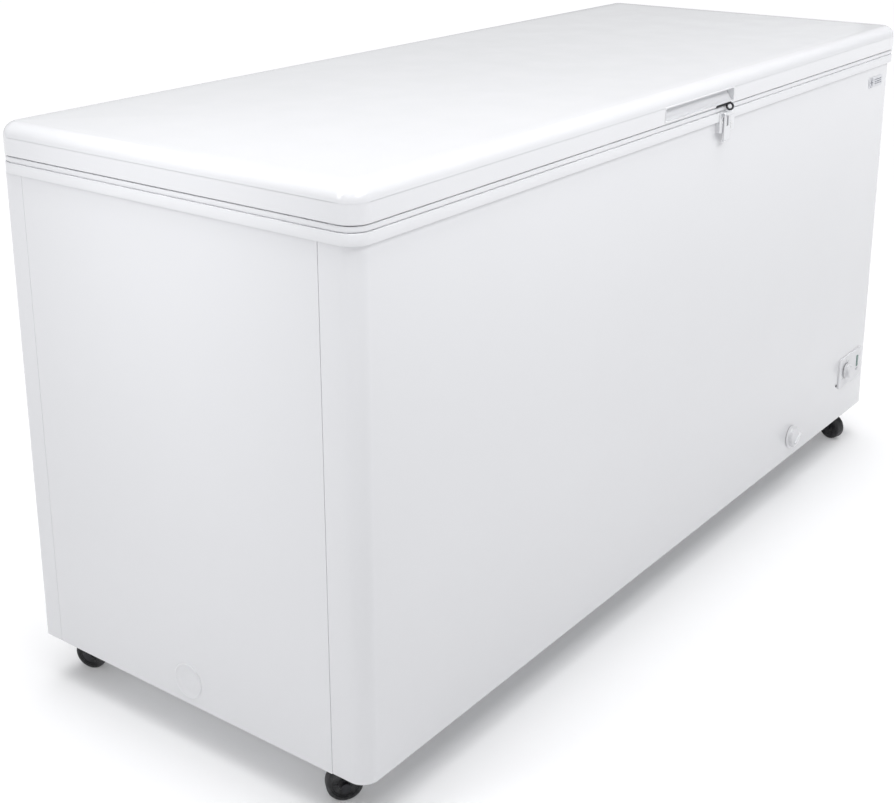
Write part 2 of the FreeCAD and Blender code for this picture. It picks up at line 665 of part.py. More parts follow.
def make_controls():
    panel = body("ControlPanel")
    pad(panel, "XZ_Plane", PANEL_FRONT, f"-{HALF_DEP}",
        rounded(("panel_x - panel_len / 2", "panel_x + panel_len / 2"),
                ("panel_z - panel_high / 2", "panel_z + panel_high / 2"), 6))
    front = worth(PANEL_FRONT)
    rounding(panel, 1.5, lambda edge: abs(edge.BoundBox.YMax - front) < 0.01 and edge.BoundBox.YLength < 0.01)
    pocket(panel, "XZ_Plane", PANEL_FRONT, f"{PANEL_FRONT} + 1", circle("dial_x", "dial_z", "dial_rad + 1.6"))
    pocket(panel, "XZ_Plane", f"{PANEL_FRONT} + 1", f"-{HALF_DEP}", circle("dial_x", "dial_z", 4))
    pocket(panel, "XZ_Plane", PANEL_FRONT, f"-{HALF_DEP}",
           rounded(("lamp_x - 3.6", "lamp_x + 3.6"), ("panel_z - 7", "panel_z + 17"), 2))
    node(panel, "control_panel")

    lamp = body("Lamp")
    pad(lamp, "XZ_Plane", f"{PANEL_FRONT} - 1", f"-{HALF_DEP} + 4",
        rounded(("lamp_x - 3.5", "lamp_x + 3.5"), ("panel_z - 6.9", "panel_z + 16.9"), 2))
    node(lamp, "indicator_lamp")

    knob = body("Knob")
    turned(knob, (3, 1.5), ("dial_rad", 1.5), ("dial_rad", 3.5), ("dial_rad - 1.5", 4.5),
           ("dial_rad - 2.5", 11), ("dial_rad - 4", 12.5), (0, 12.5), (0, 9), (3, 9))
    knob.Tip.Refine = True
    dent = pocket(knob, "XY_Plane", 4.5, 12.5, circle("dial_rad + 1.2", 0, 4))
    repeated(knob, dent, "PolarPattern", Axis=(dent.Profile[0], ["N_Axis"]), Angle=360, Occurrences=8)
    place(knob, "dial_x", PANEL_FRONT, "dial_z", Rotation(Vector(1, 0, 0), 90))
    node(knob, "thermostat_knob")
    node(rod(3, 26, "dial_x", f"{PANEL_FRONT} - 9", "dial_z", "y"), "thermostat_shaft")

    case = box(("dial_x - 21", "dial_x + 21"), (f"-{HALF_DEP} + 14", f"-{HALF_DEP} + 48"),
               ("dial_z - 24", "dial_z + 24"))
    stem = rod(3.06, 10, "dial_x", f"-{HALF_DEP} + 12", "dial_z", "y")
    node(cut(case, stem), "thermostat_body")
    screws = [screw(3, "panel_x - panel_len / 2 - 7", f"-{HALF_DEP}", "panel_z - 21", "y", -1, 5)]
    node(grouped(*screws), "panel_screw")


# Drain, port cap, badge and gland

def make_drain():
    node(cut(drain_run("DrainTube", "tube_rad", 0), drain_run("DrainBore", "tube_rad - 1.5", 1)), "drain_tube")

    cap = body("DrainCap")
    turned(cap, (0, 2.6), (13, 2.6), (13, 0.4), (22, 0.4), (22, 2.5), (19.5, 4), (18, 11), (13.5, 14), (0, 15))
    pad(cap, "XY_Plane", 10, 17.5, rounded((-14, 14), (-2.4, 2.4), 2))
    place(cap, "drain_x", f"-{HALF_DEP}", "drain_z",
          Rotation(Vector(0, 1, 0), 35).multiply(Rotation(Vector(1, 0, 0), 90)))
    node(cap, "drain_cap")

    plug = body("DrainPlug")
    turned(plug, (0, -10), (7.6, -10), (8.2, 0), (15, 0.3), (15, 2.3), (11, 4.5), (0, 4.5))
    pad(plug, "XY_Plane", 4.4, 12, rounded((-9, 9), (-1.5, 1.5), 1.2))
    place(plug, "drain_x", "drain_y", "liner_z + skin")
    node(plug, "drain_plug")


def make_port_cap():
    made = body("PortCap")
    turned(made, (0, 0), ("port_rad - 7.2", 0), ("port_rad - 7.2", -5), ("port_rad - 9", -5), ("port_rad - 9", -1),
           (0, -1))
    pad(made, "XY_Plane", 0, 1.2, circle(0, 0, "port_rad"))
    rounding(made, 0.8, lambda edge: at_height(edge, 1.2))
    pocket(made, "XY_Plane", 0.6, 1.2, circle(0, 0, "port_rad - 3.5"))
    place(made, f"-{HALF_LEN}", "port_y", "port_z", Rotation(Vector(0, 1, 0), -90))
    node(made, "foam_port_cap")


def make_badge():
    """A thin plate with a plain six-armed frost mark beside three bars."""
    made = body("Badge")
    pad(made, "XZ_Plane", f"-{HALF_DEP} - 1", f"-{HALF_DEP}",
        rounded(("badge_x - 34", "badge_x + 34"), ("badge_z - 10", "badge_z + 10"), 5))
    pad(made, "XZ_Plane", f"-{HALF_DEP} - 1.8", f"-{HALF_DEP} - 1",
              rectangle(("badge_x - 30", "badge_x - 14"), ("badge_z - 0.8", "badge_z + 0.8")))
    for tilt in (60, 120):
        run, rise = 8 * math.cos(math.radians(tilt)), 8 * math.sin(math.radians(tilt))
        side_x, side_z = 0.8 * math.sin(math.radians(tilt)), -0.8 * math.cos(math.radians(tilt))
        corners = [(a * run + b * side_x, a * rise + b * side_z) for a, b in ((-1, -1), (-1, 1), (1, 1), (1, -1))]
        pad(made, "XZ_Plane", f"-{HALF_DEP} - 1.8", f"-{HALF_DEP} - 1",
            outline(*[(f"badge_x - 22 + {x:.4f}", f"badge_z + {z:.4f}") for x, z in corners]))
    for level in (-4, 0, 4):
        pad(made, "XZ_Plane", f"-{HALF_DEP} - 1.6", f"-{HALF_DEP} - 1",
            rectangle(("badge_x - 8", "badge_x + 27"), (f"badge_z + {level} - 0.9", f"badge_z + {level} + 0.9")))
    node(made, "badge")


def make_vent_cover():
    """The slotted sheet over the machine bay's rear opening."""
    made = body("VentCover")
    x = ("bay_x + 20", f"{HALF_LEN} - 20")
    pad(made, "XZ_Plane", HALF_DEP, f"{HALF_DEP} + 1.2", rounded(x, (100, 310), 5))
    slot = pocket(made, "XZ_Plane", HALF_DEP, f"{HALF_DEP} + 1.2", rounded((622, 754), (126, 133), 3.4))
    repeated(made, slot, "LinearPattern", Direction=(slot.Profile[0], ["V_Axis"]), Length=154, Occurrences=12)
    node(made, "rear_vent_cover")


def make_gland():
    made = body("Gland")
    turned(made, (4.5, -4), (8, -4), (8, 0), (13, 0), (13, 4), (9, 7), (7, 16), (4.5, 16))
    place(made, "bay_x - 25", HALF_DEP, 120, Rotation(Vector(1, 0, 0), -90))
    node(made, "cable_gland")


# Machine bay

def make_compressor():
    shell = body("Compressor")
    radius = "comp_rad"
    turned(shell, (0, 0), (f"{radius} - 12", 0), (f"{radius} - 3", 8), (radius, 22), (radius, 82),
           (f"{radius} + 4", 84), (f"{radius} + 4", 90), (radius, 92), (radius, 120),
           (f"{radius} - 8", 142), (f"{radius} - 26", 156), (0, 162))
    pad(shell, "XY_Plane", -4, 3, rounded((-84, 84), (-62, 62), 10))
    place(shell, "comp_x", "comp_y", "comp_z + 4")
    feet = [rod(7.4, 30, f"comp_x + {x}", f"comp_y + {y}", "comp_z - 10") for x in (-70, 70) for y in (-48, 48)]
    node(cut(shell, *feet), "compressor")

    mounts = []
    for x in (-70, 70):
        for y in (-48, 48):
            low = rod(11, "comp_z - floor_z", f"comp_x + {x}", f"comp_y + {y}", "floor_z")
            neck = rod(7.3, 16, f"comp_x + {x}", f"comp_y + {y}", "comp_z")
            mounts.append(fused(low, neck))
    node(grouped(*mounts), "compressor_mounts")
    relay = box(("comp_x - 24", "comp_x + 24"), ("comp_y - comp_rad - 36", "comp_y - comp_rad - 4.5"),
                ("comp_z + 40", "comp_z + 98"))
    node(relay, "start_relay_cover")


def make_refrigerant_lines():
    drier = fused(rod(9, 84, "bay_x + 20", 40, 150), cone(9, 3, 14, "bay_x + 20", 40, 234),
                  cone(3, 9, 14, "bay_x + 20", 40, 136))
    node(drier, "filter_drier")

    tank_x, tank_y = inset("skin + wall - 6")
    turns, climb, low = 5, 56, 450
    loops = []
    for turn in range(turns):
        level = low + climb * turn
        for step, (x, y) in enumerate(((tank_x[1], tank_y[1]), (tank_x[0], tank_y[1]), (tank_x[0], tank_y[0]),
                                       (tank_x[1], tank_y[0]))):
            loops.append((x, y, level + climb * step / 4))
    lead = (tank_x[1], 0, low - climb / 8)
    node(tube("Evaporator", [lead, *loops], 4, 9), "evaporator_tube")

    skin_x, skin_y = inset("skin + 6")
    back = []
    for index in range(6):
        level = 160 + 100 * index
        ends = (f"{skin_x[0]} + 60", "500") if index % 2 else ("500", f"{skin_x[0]} + 60")
        back += [(ends[0], skin_y[1], level), (ends[1], skin_y[1], level)]
    node(tube("Condenser", back, 2.5, 20), "condenser_tube")

    beside = "comp_x - comp_rad - 24"
    suction = [("comp_x - comp_rad + 4", "comp_y", "comp_z + 120"), (beside, "comp_y", "comp_z + 120"),
               (beside, "comp_y", "bay_top - 30"), ("comp_x + 20", "comp_y - 40", "bay_top - 30"),
               ("comp_x + 20", "comp_y - 40", "bay_top + 12")]
    node(tube("Suction", suction, 4, 14), "suction_line")


# Casters: a bolted plate with a kingpin, and a swivelling fork that carries the wheel

CASTERS = {
    "front_left": (-1, -1, 140), "front_right": (1, -1, 255),
    "back_left": (-1, 1, 110), "back_right": (1, 1, 205),
}


def make_caster_plates():
    plates, screws = [], []
    for side, depth, _ in CASTERS.values():
        x, y = f"{side} * caster_x", f"{depth} * caster_y"
        made = body("CasterPlate")
        pad(made, "XY_Plane", "skirt_z - 2.5", "skirt_z", rounded((-31, 31), (-25, 25), 5))
        pad(made, "XY_Plane", "skirt_z - 14", "skirt_z - 2.5", circle(0, 0, "king_rad"))
        pad(made, "XY_Plane", "skirt_z - 16.5", "skirt_z - 14", circle(0, 0, "king_rad + 3"))
        place(made, x, y)
        plates.append(made)
        for across in (-24, 24):
            for along in (-18, 18):
                screws.append(screw(4, f"{x} + {across}", f"{y} + {along}", "skirt_z - 2.5", "z", -1, 7))
    node(grouped(*plates), "caster_plates")
    node(grouped(*screws), "caster_screws")


def make_caster(label, side, depth, swing):
    """The fork trails behind the kingpin. Its wheel runs on a bolt through both legs."""
    turn = Rotation(Vector(0, 0, 1), swing)
    fork = body(f"Fork_{label}")
    half = "wheel_wide / 2"
    pad(fork, "XY_Plane", "skirt_z - 13.6", "skirt_z - 10", circle(0, 0, 22))
    pad(fork, "XY_Plane", "skirt_z - 10", "skirt_z - 2.8", circle(0, 0, 19))
    leg = outline((-12, "skirt_z - 13"), (16, "skirt_z - 13"), ("trail + 5", "wheel_rad + 5"),
                  ("trail + 4", "wheel_rad - 5"), ("trail - 4", "wheel_rad - 5"), (-6, "skirt_z - 21"))
    for low, high in ((f"-{half} - 3.5", f"-{half} - 1.5"), (f"{half} + 1.5", f"{half} + 3.5")):
        pad(fork, "XZ_Plane", low, high, leg)
    pocket(fork, "XY_Plane", "skirt_z - 14", "skirt_z - 2.8", circle(0, 0, "king_bore"))
    pocket(fork, "XZ_Plane", f"-{half} - 4", f"{half} + 4", circle("trail", "wheel_rad", "axle_rad"))
    bolt = body(f"Axle_{label}")
    pad(bolt, "XZ_Plane", f"-{half} - 5.5", f"{half} + 5.5", circle("trail", "wheel_rad", "axle_rad"))
    for low, high in ((f"-{half} - 7.5", f"-{half} - 3.5"), (f"{half} + 3.5", f"{half} + 7.5")):
        pad(bolt, "XZ_Plane", low, high, circle("trail", "wheel_rad", "axle_rad + 2.5"))
    wheel = body(f"Wheel_{label}")
    edge, rim = "wheel_rad", "wheel_rad - 5"
    turned(wheel, ("axle_bore", f"-{half}"), (9, f"-{half}"), (10, f"-{half} + 3"), (rim, f"-{half} + 2.5"),
           (f"{rim} + 1.5", f"-{half}"), (f"{edge} - 2", f"-{half}"), (edge, f"-{half} + 2"), (edge, f"{half} - 2"),
           (f"{edge} - 2", half), (f"{rim} + 1.5", half), (rim, f"{half} - 2.5"), (10, f"{half} - 3"), (9, half),
           ("axle_bore", half))
    x, y = f"{side} * caster_x", f"{depth} * caster_y"
    place(fork, x, y, 0, turn)
    place(bolt, x, y, 0, turn)
    away = turn.multVec(Vector(1, 0, 0))
    place(wheel, f"{x} + trail * {away.x:.6f}", f"{y} + trail * {away.y:.6f}", "wheel_rad",
          turn.multiply(Rotation(Vector(1, 0, 0), 90)))
    node(grouped(fork, bolt), f"caster_fork_{label}")
    node(wheel, f"caster_wheel_{label}")


# Basket

def make_basket():
    """An open basket that hangs by four hooks from the ledge, and slides along it."""
    x = ("basket_x - basket_len / 2", "basket_x + basket_len / 2")
    y = ("-basket_dep / 2", "basket_dep / 2")
    made = body("Basket")
    pad(made, "XY_Plane", "basket_z", "basket_top", rounded(x, y, 12))
    inner_x = (f"{x[0]} + basket_wall", f"{x[1]} - basket_wall")
    inner_y = (f"{y[0]} + basket_wall", f"{y[1]} - basket_wall")
    pocket(made, "XY_Plane", "basket_z + basket_wall", "basket_top", rounded(inner_x, inner_y, 10))
    for side in (-1, 1):
        wall_in, wall_out = (f"{side} * (basket_dep / 2 {step} basket_wall)" for step in "-+")
        hook = outline((wall_in, "basket_top - 12"), (wall_out, "basket_top - 12"), (wall_out, "ledge_z + 0.4"),
                       (f"{side} * 276", "ledge_z + 0.4"), (f"{side} * 276", "ledge_z + 4"),
                       (wall_in, "ledge_z + 4"))
        for across in (-80, 80):
            pad(made, "YZ_Plane", f"basket_x + {across} - 4", f"basket_x + {across} + 4", hook)
    node(made, "storage_basket")


make_front_panel()
make_back_panel()
make_side_panel("left", -1)
make_side_panel("right", 1)
make_foam()
make_liner()
make_floor_sheets()
make_rails()
make_trim()
make_lid_skin()
make_lid_foam()
make_lid_liner()
make_gasket()
make_handle()
make_staple()
make_hinge("left", -1)
make_hinge("right", 1)
make_hinge_hardware()
make_hasp()
make_controls()
make_drain()
make_port_cap()
make_badge()
make_vent_cover()
make_gland()
make_compressor()
make_refrigerant_lines()
make_caster_plates()
for corner, (side, depth, swing) in CASTERS.items():
    make_caster(corner, side, depth, swing)
make_basket()

doc.recompute()
for thing in doc.Objects:
    if "Invalid" in thing.State or "Error" in thing.State:
        raise RuntimeError(f"{thing.Name} ({thing.Label}) is {thing.State}")

os.makedirs("parts", exist_ok=True)
for thing in NODES:
    shape = thing.Shape
    if shape.isNull() or not shape.isValid() or not shape.Solids:
        raise RuntimeError(f"{thing.Label} has no valid solid")
    shape.exportStep(f"parts/{thing.Label}.step")
print(len(NODES), "nodes")
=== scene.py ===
import json
import math

import bmesh
import bpy
from mathutils import Matrix, Vector


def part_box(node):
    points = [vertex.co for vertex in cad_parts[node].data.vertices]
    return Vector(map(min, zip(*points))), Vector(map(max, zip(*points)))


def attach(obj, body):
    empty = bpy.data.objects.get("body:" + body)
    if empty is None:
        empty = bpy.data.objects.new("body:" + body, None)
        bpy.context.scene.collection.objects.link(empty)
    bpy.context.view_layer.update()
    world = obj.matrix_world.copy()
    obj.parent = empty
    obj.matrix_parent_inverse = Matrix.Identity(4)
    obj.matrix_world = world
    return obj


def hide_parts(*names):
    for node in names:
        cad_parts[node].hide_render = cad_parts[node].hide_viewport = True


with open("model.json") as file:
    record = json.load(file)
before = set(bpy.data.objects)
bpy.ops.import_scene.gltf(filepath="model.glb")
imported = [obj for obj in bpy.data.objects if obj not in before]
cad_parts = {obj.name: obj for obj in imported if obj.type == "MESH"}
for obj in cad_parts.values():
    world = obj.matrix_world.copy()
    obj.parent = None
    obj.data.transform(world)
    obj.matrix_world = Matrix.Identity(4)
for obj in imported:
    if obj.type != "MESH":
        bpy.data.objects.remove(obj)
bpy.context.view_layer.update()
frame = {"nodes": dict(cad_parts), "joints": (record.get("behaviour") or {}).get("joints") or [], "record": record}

MM = 0.001
NODES = frame["nodes"]
JOINTS = {joint["name"]: joint for joint in frame["joints"]}
SLOTS = {part["node"]: part["material_slot"] for part in frame["record"]["subparts"]}
BODY_OF = {node: body for body, nodes in frame["record"]["behaviour"]["bodies"].items() for node in nodes}


# ---- Finishes ----

class Finish:
    """One material. Its patterns are laid out on Object coordinates, in metres."""

    def __init__(self, name, color, rough, metal=0.0, coat=0.0, coat_rough=0.08, sheen=0.0, specular=0.5):
        self.material = bpy.data.materials.new(name)
        self.material.use_nodes = True
        self.tree = self.material.node_tree
        self.shader = self.tree.nodes["Principled BSDF"]
        for socket, amount in (("Base Color", (*color, 1)), ("Roughness", rough), ("Metallic", metal),
                               ("Coat Weight", coat), ("Coat Roughness", coat_rough), ("Sheen Weight", sheen),
                               ("Specular IOR Level", specular)):
            self.shader.inputs[socket].default_value = amount
        self.place = self.add("ShaderNodeTexCoord").outputs["Object"]
        self.height = None

    def add(self, kind, settings=None, **sockets):
        """A node, with its inputs set to values or joined to other nodes' outputs."""
        node = self.tree.nodes.new(kind)
        for name, setting in (settings or {}).items():
            setattr(node, name, setting)
        for name, amount in sockets.items():
            socket = node.inputs[int(name[1:])] if name[0] == "i" and name[1:].isdigit() else node.inputs[name]
            if isinstance(amount, bpy.types.NodeSocket):
                self.tree.links.new(amount, socket)
            else:
                socket.default_value = amount
        return node

    def noise(self, scale, detail=3.0, stretch=(1, 1, 1), rough=0.5):
        spot = self.add("ShaderNodeMapping", Vector=self.place, Scale=stretch).outputs["Vector"]
        made = self.add("ShaderNodeTexNoise", Vector=spot, Scale=scale, Detail=detail, Roughness=rough)
        return made.outputs["Fac"]

    def cells(self, scale, feature="F1", stretch=(1, 1, 1)):
        spot = self.add("ShaderNodeMapping", Vector=self.place, Scale=stretch).outputs["Vector"]
        cell = self.add("ShaderNodeTexVoronoi", {"feature": feature}, Vector=spot, Scale=scale)
        return cell.outputs["Distance"], cell.outputs["Color"] if feature == "F1" else None

    def between(self, amount, low, high, start=0.0, end=1.0):
        """Spreads a pattern's values over a range."""
        return self.add("ShaderNodeMapRange", {"clamp": True}, Value=amount, i1=low, i2=high, i3=start,
                        i4=end).outputs["Result"]

    def tint(self, amount, first, second):
        """Mixes two colours by a pattern and returns the colour."""
        mixer = self.add("ShaderNodeMix", {"data_type": "RGBA"})
        for index, value in ((0, amount), (6, first), (7, second)):
            if isinstance(value, bpy.types.NodeSocket):
                self.tree.links.new(value, mixer.inputs[index])
            else:
                mixer.inputs[index].default_value = (*value, 1) if isinstance(value, tuple) else value
        return mixer.outputs[2]

    def paint(self, color):
        self.tree.links.new(color, self.shader.inputs["Base Color"])
        return self

    def gloss(self, amount):
        self.tree.links.new(amount, self.shader.inputs["Roughness"])
        return self

    def bump(self, amount, depth, strength=1.0):
        """Raises a pattern by a depth in metres. Each bump sits on the one before."""
        made = self.add("ShaderNodeBump", Height=amount, Distance=depth, Strength=strength)
        if self.height is not None:
            self.tree.links.new(self.height, made.inputs["Normal"])
        self.height = made.outputs["Normal"]
        self.tree.links.new(self.height, self.shader.inputs["Normal"])
        return self


def near(color, amount):
    return tuple(channel * amount for channel in color)


def sheet_paint(name, color, rough, peel=0.0000015, wave=0.00012):
    """Sprayed enamel on sheet: fine orange peel, slow waves in the sheet, faint cloudiness."""
    made = Finish(name, color, rough, coat=0.35, coat_rough=0.06)
    made.paint(made.tint(made.noise(2.3, 4.0), near(color, 0.975), near(color, 1.02)))
    made.gloss(made.between(made.noise(14.0, 2.0), 0.3, 0.7, rough - 0.01, rough + 0.02))
    made.bump(made.noise(3.1, 2.0), wave, 0.6)
    return made.bump(made.noise(620.0, 2.0), peel * 3, 0.5).material


def moulding(name, color, rough, grain=900.0, depth=0.000003, coat=0.0):
    """Moulded plastic with a spark-eroded grain and faint flow marks."""
    made = Finish(name, color, rough, coat=coat)
    flow = made.noise(9.0, 3.0, (1, 1, 4))
    made.paint(made.tint(flow, near(color, 0.96), near(color, 1.03)))
    made.gloss(made.between(made.noise(25.0, 2.0), 0.3, 0.7, rough - 0.015, rough + 0.025))
    return made.bump(made.noise(grain, 2.0), depth, 0.5).material


def plated(name, color, rough, metal=1.0, spangle=0.0, drawn=(1, 1, 1), scratch=0.12):
    """Metal with drawing marks, a cloudy sheen and, on galvanized sheet, crystal spangle."""
    made = Finish(name, color, rough, metal=metal)
    tone = made.noise(60.0, 5.0, drawn)
    if spangle:
        crystal = made.cells(spangle)[1]
        shade = made.add("ShaderNodeSeparateColor", Color=crystal).outputs[0]
        tone = made.add("ShaderNodeMath", {"operation": "MULTIPLY_ADD"}, i0=shade, i1=0.6, i2=0.2).outputs[0]
    made.paint(made.tint(tone, near(color, 0.72), near(color, 1.1)))
    made.gloss(made.between(tone, 0.2, 0.8, rough + scratch, rough - 0.04))
    return made.bump(made.noise(1500.0, 2.0, drawn), 0.00001, 0.5).material


def rubber(name, color, rough, grain=1400.0):
    """Matt rubber: pores, dusty patches and a faint bloom."""
    made = Finish(name, color, rough, sheen=0.15)
    dust = made.between(made.noise(75.0, 5.0, (1, 1, 1), 0.65), 0.48, 0.72)
    made.paint(made.tint(dust, color, tuple(0.5 * c + 0.06 for c in color)))
    made.gloss(made.between(made.noise(160.0, 3.0), 0.3, 0.7, rough - 0.08, rough + 0.08))
    return made.bump(made.noise(grain, 3.0), 0.00005, 0.5).material


WHITE = (0.767, 0.771, 0.787)
FINISHES = {
    "white_enamel": sheet_paint("white_enamel", WHITE, 0.2),
    "white_plastic": moulding("white_plastic", (0.775, 0.779, 0.795), 0.34, coat=0.1),
    "zinc_sheet": plated("zinc_sheet", (0.55, 0.57, 0.6), 0.38, spangle=70.0),
    "bright_steel": plated("bright_steel", (0.62, 0.63, 0.65), 0.28, drawn=(0.2, 6, 6)),
    "dark_steel": plated("dark_steel", (0.035, 0.035, 0.04), 0.4, metal=0.5),
    "chrome_trim": plated("chrome_trim", (0.76, 0.77, 0.8), 0.22, metal=0.1, drawn=(8, 1, 0.3), scratch=0.06),
    "dark_plastic": moulding("dark_plastic", (0.03, 0.03, 0.034), 0.45),
    "black_rubber": rubber("black_rubber", (0.02, 0.02, 0.02), 0.7),
    "wheel_rubber": rubber("wheel_rubber", (0.012, 0.012, 0.014), 0.55),
    "grey_rubber": rubber("grey_rubber", (0.5, 0.51, 0.54), 0.55),
    "coated_wire": moulding("coated_wire", (0.78, 0.79, 0.82), 0.28, grain=1500.0, coat=0.4),
}


def stucco():
    """Embossed inner sheet: a hammered pattern under white paint."""
    made = Finish("liner_enamel", (0.78, 0.79, 0.81), 0.33, coat=0.2)
    made.paint(made.tint(made.noise(5.0, 4.0), (0.75, 0.76, 0.78), (0.81, 0.815, 0.825)))
    made.gloss(made.between(made.noise(25.0, 4.0), 0.3, 0.7, 0.28, 0.42))
    return made.bump(made.cells(190.0, "SMOOTH_F1")[0], 0.0006, 0.55).material


def foam():
    """Poured foam with fine open cells and darker skins."""
    made = Finish("foam", (0.8, 0.7, 0.45), 0.85)
    made.paint(made.tint(made.noise(30.0, 6.0), (0.72, 0.6, 0.36), (0.86, 0.78, 0.55)))
    made.gloss(made.between(made.noise(90.0, 2.0), 0.3, 0.7, 0.75, 0.95))
    return made.bump(made.cells(600.0)[0], 0.0006, 0.8).material


def lens():
    """A dark green lens with fine ribs across it; the rib troughs are painted darker and the crests lighter, as
    painted shade and highlight.
    """
    made = Finish("green_lens", (0.01, 0.15, 0.11), 0.16, coat=0.6, coat_rough=0.03)
    rib_height_and_shade = made.add("ShaderNodeTexWave", {"bands_direction": "Z"}, Vector=made.place, Scale=160.0).outputs["Fac"]
    # Painted shade in the rib troughs and painted highlight on the crests, following the same wave as the bump
    made.paint(made.tint(rib_height_and_shade, (0.006, 0.09, 0.07), (0.02, 0.2, 0.15)))
    made.gloss(made.between(made.noise(300.0), 0.3, 0.7, 0.12, 0.22))
    return made.bump(rib_height_and_shade, 0.0002, 0.5).material


def copper():
    made = Finish("copper", (0.66, 0.32, 0.17), 0.3, metal=1.0)
    patina = made.between(made.noise(35.0, 5.0, (1, 1, 1), 0.6), 0.45, 0.75)
    made.paint(made.tint(patina, (0.68, 0.33, 0.18), (0.24, 0.12, 0.07)))
    made.gloss(made.between(patina, 0.0, 1.0, 0.26, 0.5))
    return made.bump(made.noise(700.0), 0.00002, 0.4).material


def pot_enamel():
    """Thick black paint on the compressor's deep-drawn shell."""
    made = Finish("black_enamel", (0.012, 0.012, 0.014), 0.3, coat=0.5, coat_rough=0.12)
    made.paint(made.tint(made.noise(18.0, 5.0), (0.008, 0.008, 0.009), (0.02, 0.02, 0.022)))
    made.gloss(made.between(made.noise(55.0, 4.0), 0.3, 0.7, 0.24, 0.42))
    return made.bump(made.noise(260.0, 3.0), 0.00012, 0.6).material


FINISHES.update(liner_enamel=stucco(), foam=foam(), green_lens=lens(), copper=copper(),
                black_enamel=pot_enamel())
MARKING = moulding("printed_marks", (0.16, 0.17, 0.2), 0.5)
# Near-black finish for painted shade: a flat dark cross stands in for each screw's recess
RECESS_SHADE_FINISH = moulding("screw_recess", (0.02, 0.02, 0.022), 0.6)
DULL_STEEL = plated("dull_screws", (0.16, 0.16, 0.17), 0.42, metal=0.8)
HUB = moulding("wheel_hub", (0.05, 0.05, 0.056), 0.38, grain=1200.0, coat=0.2)

for name, node in NODES.items():
    node.data.materials.clear()
    node.data.materials.append(FINISHES[SLOTS[name]])


# ---- Meshes ----

def low(name):
    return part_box(name)[0]


def high(name):
    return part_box(name)[1]


def middle(name):
    return (low(name) + high(name)) / 2


def piece(name, mesh, like, finish=None, stands_for=True, body=None):
    """Turns a mesh into a finished piece that rides with the body of a CAD node."""
    thing = bpy.data.objects.new(name, mesh)
    bpy.context.scene.collection.objects.link(thing)
    mesh.materials.clear()
    mesh.materials.append(finish or FINISHES[SLOTS[like]])
    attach(thing, body or BODY_OF[like])
    if stands_for:
        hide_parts(like)
    return thing


def to_mesh(form, name, smooth=35.0, outward=True):
    """Writes a bmesh to a mesh, merged, with faces outward and sharp edges above an angle."""
    bmesh.ops.remove_doubles(form, verts=form.verts, dist=1e-6)
    if outward:
        bmesh.ops.recalc_face_normals(form, faces=form.faces)
    mesh = bpy.data.meshes.new(name)
    form.to_mesh(mesh)
    form.free()
    mesh.shade_smooth()
    mesh.set_sharp_from_angle(angle=math.radians(smooth))
    return mesh


def softened(node, width=0.0004, steps=2, name=None, finish=None, angle=32.0):
    """A copy of a CAD node with a small radius on its edges."""
    form = bmesh.new()
    form.from_mesh(NODES[node].data)
    bmesh.ops.remove_doubles(form, verts=form.verts, dist=1e-6)
    bmesh.ops.dissolve_limit(form, angle_limit=math.radians(0.5), verts=form.verts, edges=form.edges)
    thing = piece(name or f"{node}_made", to_mesh(form, node, angle, False), node, finish)
    edge = thing.modifiers.new("edge_radius", "BEVEL")
    edge.width, edge.segments, edge.limit_method = width, steps, "ANGLE"
    edge.angle_limit = math.radians(angle)
    edge.harden_normals = True
    edge.use_clamp_overlap = True
    return thing


def arc(centre, radius, start, end, steps):
    """Points on an arc, from one angle to another, in degrees."""
    turns = [math.radians(start + (end - start) * i / steps) for i in range(steps + 1)]
    return [(centre[0] + radius * math.cos(a), centre[1] + radius * math.sin(a)) for a in turns]


def ring(half_x, half_y, radius, z, steps=8, stops=()):
    """A rounded rectangle at one height, from the front left. Stops add points along the front and back."""
    x, y, points = half_x - radius, half_y - radius, []
    points += [(stop, -half_y) for stop in stops]
    points += arc((x, -y), radius, -90, 0, steps) + arc((x, y), radius, 0, 90, steps)
    points += [(stop, half_y) for stop in reversed(stops)]
    points += arc((-x, y), radius, 90, 180, steps) + arc((-x, -y), radius, 180, 270, steps)
    return [Vector((px, py, z)) for px, py in points]


def loft(form, rings, loop=False, cap=(False, False), skip=None, closed=True):
    """Skins a row of rings that have the same number of points."""
    rows = [[form.verts.new(point) for point in points] for points in rings]
    pairs = list(zip(rows, rows[1:] + rows[:1])) if loop else list(zip(rows, rows[1:]))
    count = len(rows[0])
    for level, (lower, upper) in enumerate(pairs):
        for i in range(count if closed else count - 1):
            j = (i + 1) % count
            if skip and skip(level, i):
                continue
            form.faces.new((lower[i], lower[j], upper[j], upper[i]))
    for wanted, row in zip(cap, (rows[0], rows[-1])):
        if wanted:
            form.faces.new(row)
    return rows


def lathe(form, profile, centre, axis, steps=48):
    """Turns radius and height pairs about an axis. A radius of zero closes the pole."""
    turn = Vector(axis).to_track_quat("Z", "Y").to_matrix()
    rows = []
    for radius, rise in profile:
        if radius < 1e-7:
            rows.append([form.verts.new(Vector(centre) + turn @ Vector((0, 0, rise)))])
            continue
        angles = [2 * math.pi * i / steps for i in range(steps)]
        spots = [Vector((radius * math.cos(a), radius * math.sin(a), rise)) for a in angles]
        rows.append([form.verts.new(Vector(centre) + turn @ spot) for spot in spots])
    for first, second in zip(rows, rows[1:]):
        for i in range(steps):
            j = (i + 1) % steps
            corners = [first[i % len(first)], first[j % len(first)],
                       second[j % len(second)], second[i % len(second)]]
            unique = list(dict.fromkeys(corners))
            if len(unique) > 2:
                form.faces.new(unique)


